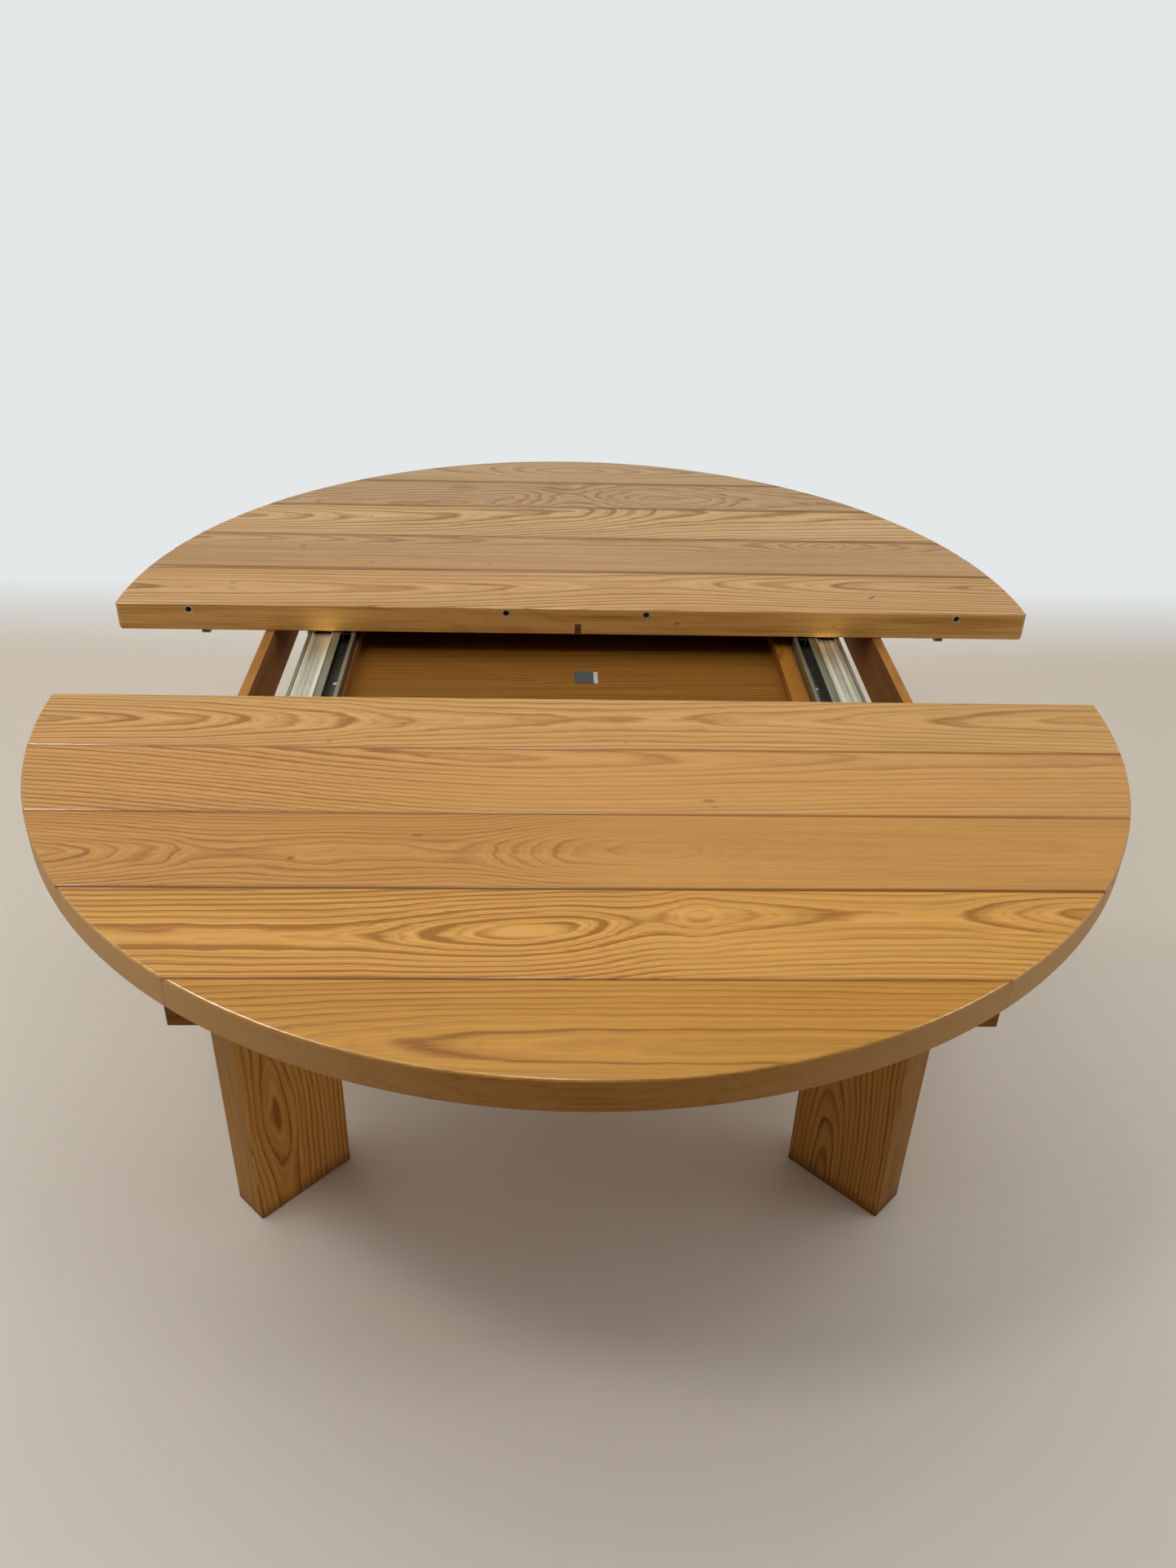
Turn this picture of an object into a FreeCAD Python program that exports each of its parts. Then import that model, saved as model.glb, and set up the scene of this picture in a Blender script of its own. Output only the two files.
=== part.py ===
import FreeCAD, Part
import math
import os

# All sizes are in millimetres. The table is worked out closed, with the middle of its
# base at x = y = 0 on the floor, and each node is then moved along y to where it stands.

# Round top, split in two halves
top_radius = 650.0
top_height = 722.6
top_thickness = 40.2
rim_top_round = 3.0
rim_under_round = 7.5
meeting_corner_round = 6.0
meeting_under_round = 1.5
board_edge_round = 2.4
board_gap = 0.4
near_joint_shares = (0.189, 0.397, 0.601, 0.807)
far_joint_shares = (0.205, 0.414, 0.624, 0.8135)

# How far the near half stands open, and how far either half can travel
pulled_out = 266.6
half_travel = 280.0

# Loose tongues in the joints between boards
tongue_thickness = 8.0
tongue_width = 20.0
tongue_stop = 60.0
tongue_fit = 0.2

# Legs, slabs on the diagonals of the base
leg_width = 154.0
leg_thickness = 58.0
leg_inset = 9.0
leg_round = 3.0
top_clearance = 0.6

# Side rails, cross rails and their dowels
rail_depth = 79.0
side_rail_thickness = 13.0
side_rail_inset = 10.0
cross_rail_thickness = 25.0
cross_rail_gap = 22.0
dowel_radius = 3.0
dowel_length = 44.0
dowel_fit = 0.1
dowel_height_shares = (0.15, 0.5)

# Aprons, which travel with the halves
apron_depth = 80.0
apron_thickness = 22.0
apron_proud = 4.0
apron_end_gap = 3.0

# Cleats under the boards
cleat_clearance = 2.3
cleat_width = 44.0
cleat_gap = 93.5
cleat_setback = 45.0
end_cleat_width = 32.0
end_cleat_gap = 10.0
end_cleat_setback = 78.0
end_cleat_rim_gap = 40.0

# Ball slides, lying flat: the inner pair carries the far half, the outer pair the near half
slides_offset = 4.4
inner_slide_width = 26.0
outer_slide_width = 40.5
slide_height = 19.0
slide_top_gap = 1.3
slide_end_gap = 18.0
channel_wall = 1.5
channel_floor = 2.5
lip_width = 5.0
lip_thickness = 1.5
running_gap = 0.8
runner_wall = 1.5
runner_foot = 5.0
trough_depth = 4.0
runner_setback = 3.0
far_runner_start = 5.0
ball_radius = 2.3
ball_play = 0.3
ball_height = 9.5
near_ball_count = 14
far_ball_count = 3
cage_sheet = 0.8
cage_lift = 0.5
cage_height = 11.0
cage_fit = 0.2
cage_margin = 5.0

# Spacers between runners and boards
spacer_length = 60.0
spacer_play = 0.5

# Screws
shank_radius = 1.75
screw_head_radius = 3.2
screw_head_height = 2.2
screw_bite = 20.0
screw_play = 0.1
cleat_bore_depth = 6.0
least_hold = 20.0
runner_screw_count = 3
channel_screw_shares = (-0.3, 0.2, 0.58)

# Bearers under the slides and the well between them
bearer_margin = 1.5
bearer_depth = 50.0
leg_notch_gap = 4.0
panel_thickness = 8.0
panel_drop = 22.0
panel_groove = 6.0
panel_fit = 0.2
panel_leg_gap = 2.0
batten_width = 22.0
batten_height = 20.5

# Blank plate on the well floor
plate_place = 11.5
plate_back = 53.0
plate_width = 27.0
plate_length = 34.0
plate_thickness = 0.8
plate_strip_width = 6.0
plate_strip_thickness = 0.5

# Locating pins, their sleeves and the key in the meeting faces
outer_pin_inset = 102.0
inner_pin_place = 100.0
pin_radius = 4.0
pin_drop = 8.8
pin_reach = 8.0
pin_taper = 1.5
pin_seat = 20.0
pin_fit = 0.05
sleeve_radius = 5.5
sleeve_play = 0.35
sleeve_length = 18.0
key_place = 2.5
key_width = 9.0
key_height = 16.0
key_depth = 20.0
key_fit = 0.1

# Flat bolts under the near half, their guide staples and the keepers under the far half
bolt_gap = 12.2
bolt_width = 8.4
bolt_thickness = 2.6
bolt_play = 0.6
bolt_length = 90.0
bolt_tip_back = 3.0
knob_radius = 3.5
knob_height = 8.0
knob_back = 50.0
staple_length = 9.0
staple_wire = 1.2
staple_bite = 10.0
staple_fit = 0.1
keeper_back = 6.0
front_guide_back = 13.0
rear_guide_back = 65.0

# One overrun serves all cuts
overrun = 5.0

# Heights and places that follow from the sizes above
underside = top_height - top_thickness
base_top = underside - top_clearance
rail_bottom = underside - rail_depth
slide_top = underside - slide_top_gap
slide_bottom = slide_top - slide_height
cleat_bottom = slide_bottom + cleat_clearance
cleat_thickness = underside - cleat_bottom
web_top = slide_top - trough_depth
web_bottom = web_top - runner_wall
leg_reach = top_radius - leg_inset
leg_middle = leg_reach / math.sqrt(2)
leg_skew = leg_thickness / math.sqrt(2)
leg_outer_corner = leg_middle + leg_skew / 2
bearer_limit = (leg_reach - leg_width) * math.sqrt(2)
side_rail_outer = leg_middle - side_rail_inset
side_rail_middle = side_rail_outer - side_rail_thickness / 2
apron_front = leg_middle + apron_proud
apron_back = apron_front - apron_thickness
cross_rail_outer = apron_back - cross_rail_gap
cross_rail_middle = cross_rail_outer - cross_rail_thickness / 2
slide_reach = apron_back - slide_end_gap
runner_reach = slide_reach - runner_setback
slides_middle = bearer_limit / 2 + slides_offset
slide_place = slides_middle - (inner_slide_width + outer_slide_width) / 2
outer_slide_place = slide_place + inner_slide_width
slides_outer = outer_slide_place + outer_slide_width
race_place = (channel_wall + lip_width + running_gap) / 2
race_height = slide_bottom + ball_height
bearer_inner = slide_place - bearer_margin
bearer_bottom = slide_bottom - bearer_depth
panel_top = slide_bottom - panel_drop
panel_bottom = panel_top - panel_thickness
leg_to_leg_reach = bearer_limit - bearer_inner - panel_groove
cross_rail_inner = cross_rail_outer - cross_rail_thickness
panel_reach = min(leg_to_leg_reach, cross_rail_inner) - panel_leg_gap
cleat_place = slide_place - cleat_gap - cleat_width / 2
pin_height = top_height - pin_drop
tongue_height = underside + top_thickness / 2
staple_width = bolt_width + (bolt_play + staple_wire) * 2
staple_drop = bolt_play + bolt_thickness + bolt_play + staple_wire
bolt_top = underside - bolt_play
end_cleat_inner = leg_outer_corner + end_cleat_gap
end_cleat_outer = end_cleat_inner + end_cleat_width
bolt_place = end_cleat_outer + bolt_gap
outer_pin_place = top_radius - outer_pin_inset
pin_places = (-outer_pin_place, -inner_pin_place, inner_pin_place, outer_pin_place)

# Where the row's origin lies: on the floor under the middle of the gap
base_shift = pulled_out / 2
near_shift = base_shift - pulled_out
near_cage_shift = base_shift - pulled_out / 2

sides = {"left": -1, "right": 1}
near = -1
far = 1


def block(x_pair, y_pair, z_pair):
    """Box between pairs of x, y and z, each pair in either order."""
    low = [min(pair) for pair in (x_pair, y_pair, z_pair)]
    high = [max(pair) for pair in (x_pair, y_pair, z_pair)]
    size = [top - bottom for bottom, top in zip(low, high)]
    return Part.makeBox(size[0], size[1], size[2], FreeCAD.Vector(*low))


def rod(centre, direction, radius, length):
    """Cylinder centred on a point and lying along a direction."""
    way = FreeCAD.Vector(*direction)
    way.normalize()
    start = FreeCAD.Vector(*centre) - way * (length / 2)
    return Part.makeCylinder(radius, length, start, way)


def prism(points, z_pair):
    """Upright solid on a polygon of x, y points."""
    bottom = min(z_pair)
    corners = [FreeCAD.Vector(x, y, bottom) for x, y in points]
    face = Part.Face(Part.makePolygon(corners + corners[:1]))
    return face.extrude(FreeCAD.Vector(0, 0, max(z_pair) - bottom))


def cut(shape, tools):
    """The shape less every tool whose box meets its own."""
    meeting = [tool for tool in tools if tool.BoundBox.intersect(shape.BoundBox)]
    if meeting:
        shape = shape.cut(meeting)
    return shape


def join(pieces):
    """One solid made of pieces that touch or overlap."""
    return pieces[0].fuse(pieces[1:]).removeSplitter()


def save(name, pieces, shift):
    """Write one node, moved along y from the closed table to where it stands."""
    solids = [solid for piece in pieces for solid in piece.Solids]
    shape = solids[0] if len(solids) == 1 else Part.makeCompound(solids)
    shape.translate(FreeCAD.Vector(0, shift, 0))
    shape.exportStep("parts/" + name + ".step")


def pan_screw(x, y, seat, length, play):
    """Upright pan-head screw whose head bears upwards on the seat; play widens it for a hole."""
    head = rod((x, y, seat - screw_head_height / 2), (0, 0, 1), screw_head_radius + play, screw_head_height)
    shank = rod((x, y, seat + length / 2), (0, 0, 1), shank_radius + play, length)
    return join([head, shank])


def countersunk_screw(x, y, face, play):
    """Upright screw driven down, its head flush with the face; play widens it for a hole."""
    neck = FreeCAD.Vector(x, y, face - channel_floor)
    up = FreeCAD.Vector(0, 0, 1)
    head = Part.makeCone(shank_radius + play, screw_head_radius + play, channel_floor, neck, up)
    shank = rod((x, y, face - channel_floor - screw_bite / 2), (0, 0, 1), shank_radius + play, screw_bite)
    return join([head, shank])


# Round top

def disc():
    """The whole round top as one turned slab with eased rims."""
    corner_share = math.sqrt(0.5)
    under_mid = rim_under_round * (1 - corner_share)
    top_mid = rim_top_round * (1 - corner_share)
    points = {
        "under_axis": (0, underside),
        "under_start": (top_radius - rim_under_round, underside),
        "under_mid": (top_radius - under_mid, underside + under_mid),
        "under_end": (top_radius, underside + rim_under_round),
        "top_start": (top_radius, top_height - rim_top_round),
        "top_mid": (top_radius - top_mid, top_height - top_mid),
        "top_end": (top_radius - rim_top_round, top_height),
        "top_axis": (0, top_height),
    }
    at = {name: FreeCAD.Vector(x, 0, z) for name, (x, z) in points.items()}
    edges = [
        Part.LineSegment(at["under_axis"], at["under_start"]).toShape(),
        Part.Arc(at["under_start"], at["under_mid"], at["under_end"]).toShape(),
        Part.LineSegment(at["under_end"], at["top_start"]).toShape(),
        Part.Arc(at["top_start"], at["top_mid"], at["top_end"]).toShape(),
        Part.LineSegment(at["top_end"], at["top_axis"]).toShape(),
        Part.LineSegment(at["top_axis"], at["under_axis"]).toShape(),
    ]
    face = Part.Face(Part.Wire(edges))
    return face.revolve(FreeCAD.Vector(0, 0, 0), FreeCAD.Vector(0, 0, 1), 360)


def eased_edge(y_edge, inward, face, up, radius):
    """Tool that rounds the edge of a board along x, on the face that looks up (1) or down (-1)."""
    reach = top_radius + overrun
    y_axis = y_edge + inward * radius
    z_axis = face - up * radius
    corner = block((-reach, reach), (y_edge - inward * overrun, y_axis), (z_axis, face + up * overrun))
    return corner.cut(rod((0, y_axis, z_axis), (1, 0, 0), radius, reach + reach))


def corner_tools(half):
    """Tools that round the two upright corners where the rim meets the meeting face."""
    inner_radius = top_radius - meeting_corner_round
    x_axis = math.sqrt(inner_radius ** 2 - meeting_corner_round ** 2)
    y_end = meeting_corner_round * top_radius / inner_radius
    z_pair = (underside - overrun, top_height + overrun)
    tools = []
    for side in sides.values():
        x_pair = (side * x_axis, side * (top_radius + overrun))
        corner = block(x_pair, (-half * overrun, half * y_end), z_pair)
        centre = (side * x_axis, half * meeting_corner_round, top_height)
        round_post = rod(centre, (0, 0, 1), meeting_corner_round, top_thickness * 2 + overrun * 4)
        tools.append(corner.cut(round_post))
    return tools


def joints(shares):
    """Distances of the board joints from the meeting edge."""
    return [share * top_radius for share in shares]


def board_middles(shares, start, end):
    """Middle of each board's stretch between two distances from the meeting edge."""
    edges = [0] + joints(shares) + [top_radius]
    middles = []
    for inner, outer in zip(edges, edges[1:]):
        low, high = max(inner, start), min(outer, end)
        if high - low > least_hold:
            middles.append((low + high) / 2)
    return middles


def tongue_box(distance, half, play):
    """A loose tongue across the joint at a distance, widened by play for its slot."""
    reach = math.sqrt(top_radius ** 2 - distance ** 2) - tongue_stop + play
    y_mid = half * distance
    half_width = tongue_width / 2 + play
    half_thickness = tongue_thickness / 2 + play
    z_pair = (tongue_height - half_thickness, tongue_height + half_thickness)
    return block((-reach, reach), (y_mid - half_width, y_mid + half_width), z_pair)


def boards(half, shares, tools):
    """The boards of one half, from the meeting edge to the rim, cut by all the tools."""
    whole = disc()
    edges = [0] + joints(shares) + [top_radius + overrun]
    reach = top_radius + overrun
    z_pair = (underside - overrun, top_height + overrun)
    slots = [tongue_box(distance, half, tongue_fit) for distance in joints(shares)]
    pieces = []
    for index, (inner, outer) in enumerate(zip(edges, edges[1:])):
        first = index == 0
        last = index == len(edges) - 2
        start = half * (inner if first else inner + board_gap / 2)
        end = half * (outer if last else outer - board_gap / 2)
        board = whole.common(block((-reach, reach), (start, end), z_pair))
        easing = [eased_edge(start, half, top_height, 1, board_edge_round)]
        if first:
            easing.append(eased_edge(start, half, underside, -1, meeting_under_round))
            easing += corner_tools(half)
        if not last:
            easing.append(eased_edge(end, -half, top_height, 1, board_edge_round))
        pieces.append(cut(board, easing + slots + tools))
    return pieces


# Under the boards

def cleat_spans(half):
    """Node, x pair and y pair of every cleat of one half."""
    chord = math.sqrt((top_radius - end_cleat_rim_gap) ** 2 - end_cleat_outer ** 2)
    spans = []
    for name, side in sides.items():
        inner = side * (cleat_place - cleat_width / 2)
        outer = side * (cleat_place + cleat_width / 2)
        spans.append(("cleat_" + name, (inner, outer), (half * cleat_setback, half * apron_back)))
    for side in sides.values():
        x_pair = (side * end_cleat_inner, side * end_cleat_outer)
        spans.append(("end_cleats", x_pair, (half * end_cleat_setback, half * chord)))
    return spans


def cleat_screws(half, shares, play):
    """Screws that hold the cleats to each board above them, or their holes."""
    screws = []
    seat = cleat_bottom + cleat_bore_depth
    length = cleat_thickness - cleat_bore_depth + screw_bite
    for _, x_pair, y_pair in cleat_spans(half):
        reach = sorted(abs(y) for y in y_pair)
        for distance in board_middles(shares, reach[0], reach[1]):
            screws.append(pan_screw(sum(x_pair) / 2, half * distance, seat, length, play))
    return screws


def cleat_bores(half, shares):
    """Counterbores in the cleats' undersides for the heads of their screws."""
    bores = []
    for _, x_pair, y_pair in cleat_spans(half):
        reach = sorted(abs(y) for y in y_pair)
        for distance in board_middles(shares, reach[0], reach[1]):
            centre = (sum(x_pair) / 2, half * distance, cleat_bottom)
            bores.append(rod(centre, (0, 0, 1), screw_head_radius + screw_play, cleat_bore_depth * 2))
    return bores


def apron(half):
    """Apron under one half, its ends cut to pass between the legs."""
    front_end = apron_front - leg_skew - apron_end_gap * math.sqrt(2)
    back_end = front_end - apron_thickness
    front, back = half * apron_front, half * apron_back
    points = [(-front_end, front), (front_end, front), (back_end, back), (-back_end, back)]
    return prism(points, (underside - apron_depth, underside))


def staple(x, y):
    """Square staple driven up into the board, its bar below the underside."""
    x_out = staple_width / 2
    x_in = x_out - staple_wire
    y_pair = (y - staple_length / 2, y + staple_length / 2)
    z_low = underside - staple_drop
    pieces = [block((x - x_out, x + x_out), y_pair, (z_low, z_low + staple_wire))]
    for side in sides.values():
        pieces.append(block((x + side * x_in, x + side * x_out), y_pair, (z_low, underside + staple_bite)))
    return join(pieces)


def staple_slots(x, y):
    """Slots in the board for a staple's two legs."""
    half_length = staple_length / 2 + staple_fit
    slots = []
    for side in sides.values():
        inner = x + side * (staple_width / 2 - staple_wire - staple_fit)
        outer = x + side * (staple_width / 2 + staple_fit)
        z_pair = (underside - overrun, underside + staple_bite + staple_fit)
        slots.append(block((inner, outer), (y - half_length, y + half_length), z_pair))
    return slots


def pin(x):
    """Locating pin let into the near half's meeting face, with a tapered tip."""
    shank_end = pin_reach - pin_taper
    shank_length = pin_seat + shank_end
    shank = rod((x, shank_end - shank_length / 2, pin_height), (0, 1, 0), pin_radius, shank_length)
    tip_start = FreeCAD.Vector(x, shank_end, pin_height)
    tip = Part.makeCone(pin_radius, pin_radius - pin_taper, pin_taper, tip_start, FreeCAD.Vector(0, 1, 0))
    return join([shank, tip])


def bolt(side):
    """Flat bolt with its knob, drawn back behind the near half's meeting face."""
    x = side * bolt_place
    tip = near * bolt_tip_back
    z_pair = (bolt_top - bolt_thickness, bolt_top)
    bar = block((x - bolt_width / 2, x + bolt_width / 2), (tip, tip + near * bolt_length), z_pair)
    knob_top = bolt_top - bolt_thickness / 2
    knob_length = knob_height + bolt_thickness / 2
    knob = rod((x, near * knob_back, knob_top - knob_length / 2), (0, 0, 1), knob_radius, knob_length)
    return join([bar, knob])


# Ball slides

def across(side, place, inner, outer):
    """Pair of x for a stretch of a slide's width, counted out from the slide's inner edge."""
    return (side * (place + inner), side * (place + outer))


def races(side, place, width, radius, reach):
    """Round tools along the two ball races of a slide."""
    tools = []
    for offset in (race_place, width - race_place):
        centre = (side * (place + offset), 0, race_height)
        tools.append(rod(centre, (0, 1, 0), radius, reach * 2))
    return tools


def channel(side, place, width, holes):
    """Fixed member of a slide: a channel open upwards, with lips turned in over the balls."""
    y_pair = (-slide_reach, slide_reach)
    pieces = [block(across(side, place, 0, width), y_pair, (slide_bottom, slide_bottom + channel_floor))]
    for low, high in ((0, channel_wall), (width - channel_wall, width)):
        pieces.append(block(across(side, place, low, high), y_pair, (slide_bottom, slide_top)))
    for low, high in ((0, lip_width), (width - lip_width, width)):
        pieces.append(block(across(side, place, low, high), y_pair, (slide_top - lip_thickness, slide_top)))
    tools = races(side, place, width, ball_radius + ball_play, slide_reach + overrun)
    return cut(join(pieces), tools + holes)


def runner(side, place, width, y_pair, holes):
    """Moving member of a slide: a trough between the lips, standing on two long walls."""
    inner = lip_width + running_gap
    outer = width - inner
    pieces = [block(across(side, place, inner, outer), y_pair, (web_bottom, web_top))]
    for low, high in ((inner, inner + runner_wall), (outer - runner_wall, outer)):
        pieces.append(block(across(side, place, low, high), y_pair, (slide_bottom + runner_foot, slide_top)))
    tools = races(side, place, width, ball_radius + ball_play, runner_reach + overrun)
    return cut(join(pieces), tools + holes)


def ball_places(middle, half_length, count):
    """Where the balls lie along a cage, evenly spaced."""
    pitch = half_length * 2 / count
    first = middle - (count - 1) * pitch / 2
    return [first + index * pitch for index in range(count)]


def cage(side, place, width, middle, half_length, count):
    """Sheet cage that keeps the balls of a slide apart."""
    y_pair = (middle - half_length, middle + half_length)
    low = slide_bottom + channel_floor + cage_lift
    inner = race_place - cage_sheet / 2
    outer = width - inner
    pieces = [block(across(side, place, inner, outer), y_pair, (low, low + cage_sheet))]
    for edge, back in ((inner, inner + cage_sheet), (outer - cage_sheet, outer)):
        pieces.append(block(across(side, place, edge, back), y_pair, (low, low + cage_height)))
    holes = []
    for y in ball_places(middle, half_length, count):
        for offset in (race_place, width - race_place):
            centre = (side * (place + offset), y, race_height)
            holes.append(rod(centre, (1, 0, 0), ball_radius + cage_fit, cage_sheet * 2))
    return cut(join(pieces), holes)


def balls(side, place, width, middle, half_length, count):
    """The balls of a slide's two rows."""
    spheres = []
    for y in ball_places(middle, half_length, count):
        for offset in (race_place, width - race_place):
            centre = FreeCAD.Vector(side * (place + offset), y, race_height)
            spheres.append(Part.makeSphere(ball_radius, centre))
    return spheres


def runner_screws(half, shares, place, width, play):
    """Screws that hold both runners of a half up to its boards, or their holes."""
    screws = []
    for side in sides.values():
        x = side * (place + width / 2)
        for distance in board_middles(shares, 0, runner_reach)[:runner_screw_count]:
            screws.append(pan_screw(x, half * distance, web_bottom, underside - web_bottom + screw_bite, play))
    return screws


def spacers(half, shares, place, width, holes):
    """Blocks between the runners' troughs and the boards, one at each runner screw."""
    inner = lip_width + running_gap + runner_wall + spacer_play
    blocks = []
    for side in sides.values():
        for distance in board_middles(shares, 0, runner_reach)[:runner_screw_count]:
            y_pair = (half * distance - spacer_length / 2, half * distance + spacer_length / 2)
            spacer = block(across(side, place, inner, width - inner), y_pair, (web_top, underside))
            blocks.append(cut(spacer, holes))
    return blocks


# Base

def base_dowels(radius, length):
    """Dowels in every joint between a leg and the rails and bearer that meet it."""
    rods = []
    for x_side in sides.values():
        for y_side in sides.values():
            for share in dowel_height_shares:
                rail_z = rail_bottom + share * (slide_bottom - rail_bottom)
                bearer_z = bearer_bottom + share * bearer_depth
                rail_at = (x_side * side_rail_middle, y_side * (side_rail_middle - leg_skew), rail_z)
                cross_at = (x_side * (cross_rail_middle - leg_skew), y_side * cross_rail_middle, rail_z)
                bearer_at = (x_side * bearer_limit / 2, y_side * bearer_limit / 2, bearer_z)
                rods.append(rod(rail_at, (0, 1, 0), radius, length))
                rods.append(rod(cross_at, (1, 0, 0), radius, length))
                rods.append(rod(bearer_at, (x_side, y_side, 0), radius, length))
    return rods


def channel_screws(place, width, play):
    """Screws that hold a pair of channels down, or their holes."""
    along = [share * slide_reach for share in channel_screw_shares]
    along += [-cross_rail_middle, cross_rail_middle]
    face = slide_bottom + channel_floor
    screws = []
    for side in sides.values():
        for y in along:
            screws.append(countersunk_screw(side * (place + width / 2), y, face, play))
    return screws


def leg(x_side, y_side, holes):
    """Slab leg on its diagonal, cut down where the slides run over it."""
    half_thickness = leg_thickness / 2
    slab = block((leg_reach - leg_width, leg_reach), (-half_thickness, half_thickness), (0, base_top))
    lower_edges = [edge for edge in slab.Edges if edge.BoundBox.ZMin < base_top / 2]
    slab = slab.makeFillet(leg_round, lower_edges)
    turn = math.degrees(math.atan2(y_side, x_side))
    slab.rotate(FreeCAD.Vector(0, 0, 0), FreeCAD.Vector(0, 0, 1), turn)
    notch_x = slides_outer + leg_notch_gap
    notch = block((-notch_x, notch_x), (-top_radius, top_radius), (slide_bottom, top_height))
    return cut(slab, [notch] + holes)


def side_rail(side, holes):
    """Thin fixed rail between the front and back legs of one side."""
    inner = side_rail_outer - side_rail_thickness
    inner_end = inner - leg_skew
    outer_end = side_rail_outer - leg_skew
    points = [
        (side * inner, -inner_end),
        (side * side_rail_outer, -outer_end),
        (side * side_rail_outer, outer_end),
        (side * inner, inner_end),
    ]
    return cut(prism(points, (rail_bottom, base_top)), holes)


def cross_rail(end, holes):
    """Fixed rail across the base behind an apron, under the slides."""
    inner_end = cross_rail_inner - leg_skew
    outer_end = cross_rail_outer - leg_skew
    points = [
        (-inner_end, end * cross_rail_inner),
        (-outer_end, end * cross_rail_outer),
        (outer_end, end * cross_rail_outer),
        (inner_end, end * cross_rail_inner),
    ]
    return cut(prism(points, (rail_bottom, slide_bottom)), holes)


def bearer(side, holes):
    """Bearer under a pair of slides, from leg to leg, grooved for the well floor."""
    inner_end = bearer_limit - bearer_inner
    outer_end = bearer_limit - slides_outer
    points = [
        (side * bearer_inner, -inner_end),
        (side * slides_outer, -outer_end),
        (side * slides_outer, outer_end),
        (side * bearer_inner, inner_end),
    ]
    x_pair = (side * (bearer_inner - overrun), side * (bearer_inner + panel_groove))
    z_pair = (panel_bottom - panel_fit, panel_top + panel_fit)
    groove = block(x_pair, (-top_radius, top_radius), z_pair)
    return cut(prism(points, (bearer_bottom, slide_bottom)), [groove] + holes)


def well_panel():
    """Floor of the well, held in the bearers' grooves."""
    reach = bearer_inner + panel_groove - panel_fit
    return block((-reach, reach), (-panel_reach, panel_reach), (panel_bottom, panel_top))


def well_batten():
    """Strip on the well floor, against the right bearer."""
    x_pair = (bearer_inner - batten_width, bearer_inner)
    return block(x_pair, (-panel_reach, panel_reach), (panel_top, panel_top + batten_height))


def blank_plates():
    """Blank plate on the well floor, and the pale strip beside it."""
    y_pair = (-plate_back - plate_length / 2, -plate_back + plate_length / 2)
    right = plate_place + plate_width / 2
    plate = block((plate_place - plate_width / 2, right), y_pair, (panel_top, panel_top + plate_thickness))
    strip_z = (panel_top, panel_top + plate_strip_thickness)
    strip = block((right, right + plate_strip_width), y_pair, strip_z)
    return plate, strip


def build_base():
    """Everything that stands still."""
    dowels = base_dowels(dowel_radius, dowel_length)
    dowel_holes = base_dowels(dowel_radius + dowel_fit, dowel_length + dowel_fit * 2)
    inner_lane = (slide_place, inner_slide_width)
    outer_lane = (outer_slide_place, outer_slide_width)
    screws = channel_screws(*inner_lane, 0) + channel_screws(*outer_lane, 0)
    screw_holes = channel_screws(*inner_lane, screw_play) + channel_screws(*outer_lane, screw_play)
    holes = dowel_holes + screw_holes
    for end_name, end in (("front", near), ("back", far)):
        for side_name, side in sides.items():
            save("leg_" + end_name + "_" + side_name, [leg(side, end, holes)], base_shift)
        save("cross_rail_" + end_name, [cross_rail(end, holes)], base_shift)
    for name, side in sides.items():
        save("side_rail_" + name, [side_rail(side, holes)], base_shift)
        save("bearer_" + name, [bearer(side, holes)], base_shift)
        save("inner_channel_" + name, [channel(side, *inner_lane, screw_holes)], base_shift)
        save("outer_channel_" + name, [channel(side, *outer_lane, screw_holes)], base_shift)
    plate, strip = blank_plates()
    save("well_panel", [well_panel()], base_shift)
    save("well_batten", [well_batten()], base_shift)
    save("blank_plate", [plate], base_shift)
    save("blank_plate_strip", [strip], base_shift)
    save("base_dowels", dowels, base_shift)
    save("channel_screws", screws, base_shift)


def build_half(name, half, shift, shares, lane, runner_span, tools):
    """Boards, tongues, cleats, apron, runners, spacers and screws of one half."""
    holes = cleat_screws(half, shares, screw_play) + runner_screws(half, shares, *lane, screw_play)
    for index, board in enumerate(boards(half, shares, holes + tools)):
        save(name + "_board_" + str(index + 1), [board], shift)
    save(name + "_loose_tongues", [tongue_box(at, half, 0) for at in joints(shares)], shift)
    bores = cleat_bores(half, shares)
    cleats = {}
    for cleat_name, x_pair, y_pair in cleat_spans(half):
        cleat = block(x_pair, y_pair, (cleat_bottom, underside))
        cleats.setdefault(cleat_name, []).append(cut(cleat, holes + bores))
    for cleat_name, pieces in cleats.items():
        save(name + "_" + cleat_name, pieces, shift)
    save(name + "_apron", [apron(half)], shift)
    for side_name, side in sides.items():
        save(name + "_runner_" + side_name, [runner(side, *lane, runner_span, holes)], shift)
    save(name + "_spacers", spacers(half, shares, *lane, holes), shift)
    screws = cleat_screws(half, shares, 0) + runner_screws(half, shares, *lane, 0)
    save(name + "_screws", screws, shift)


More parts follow.
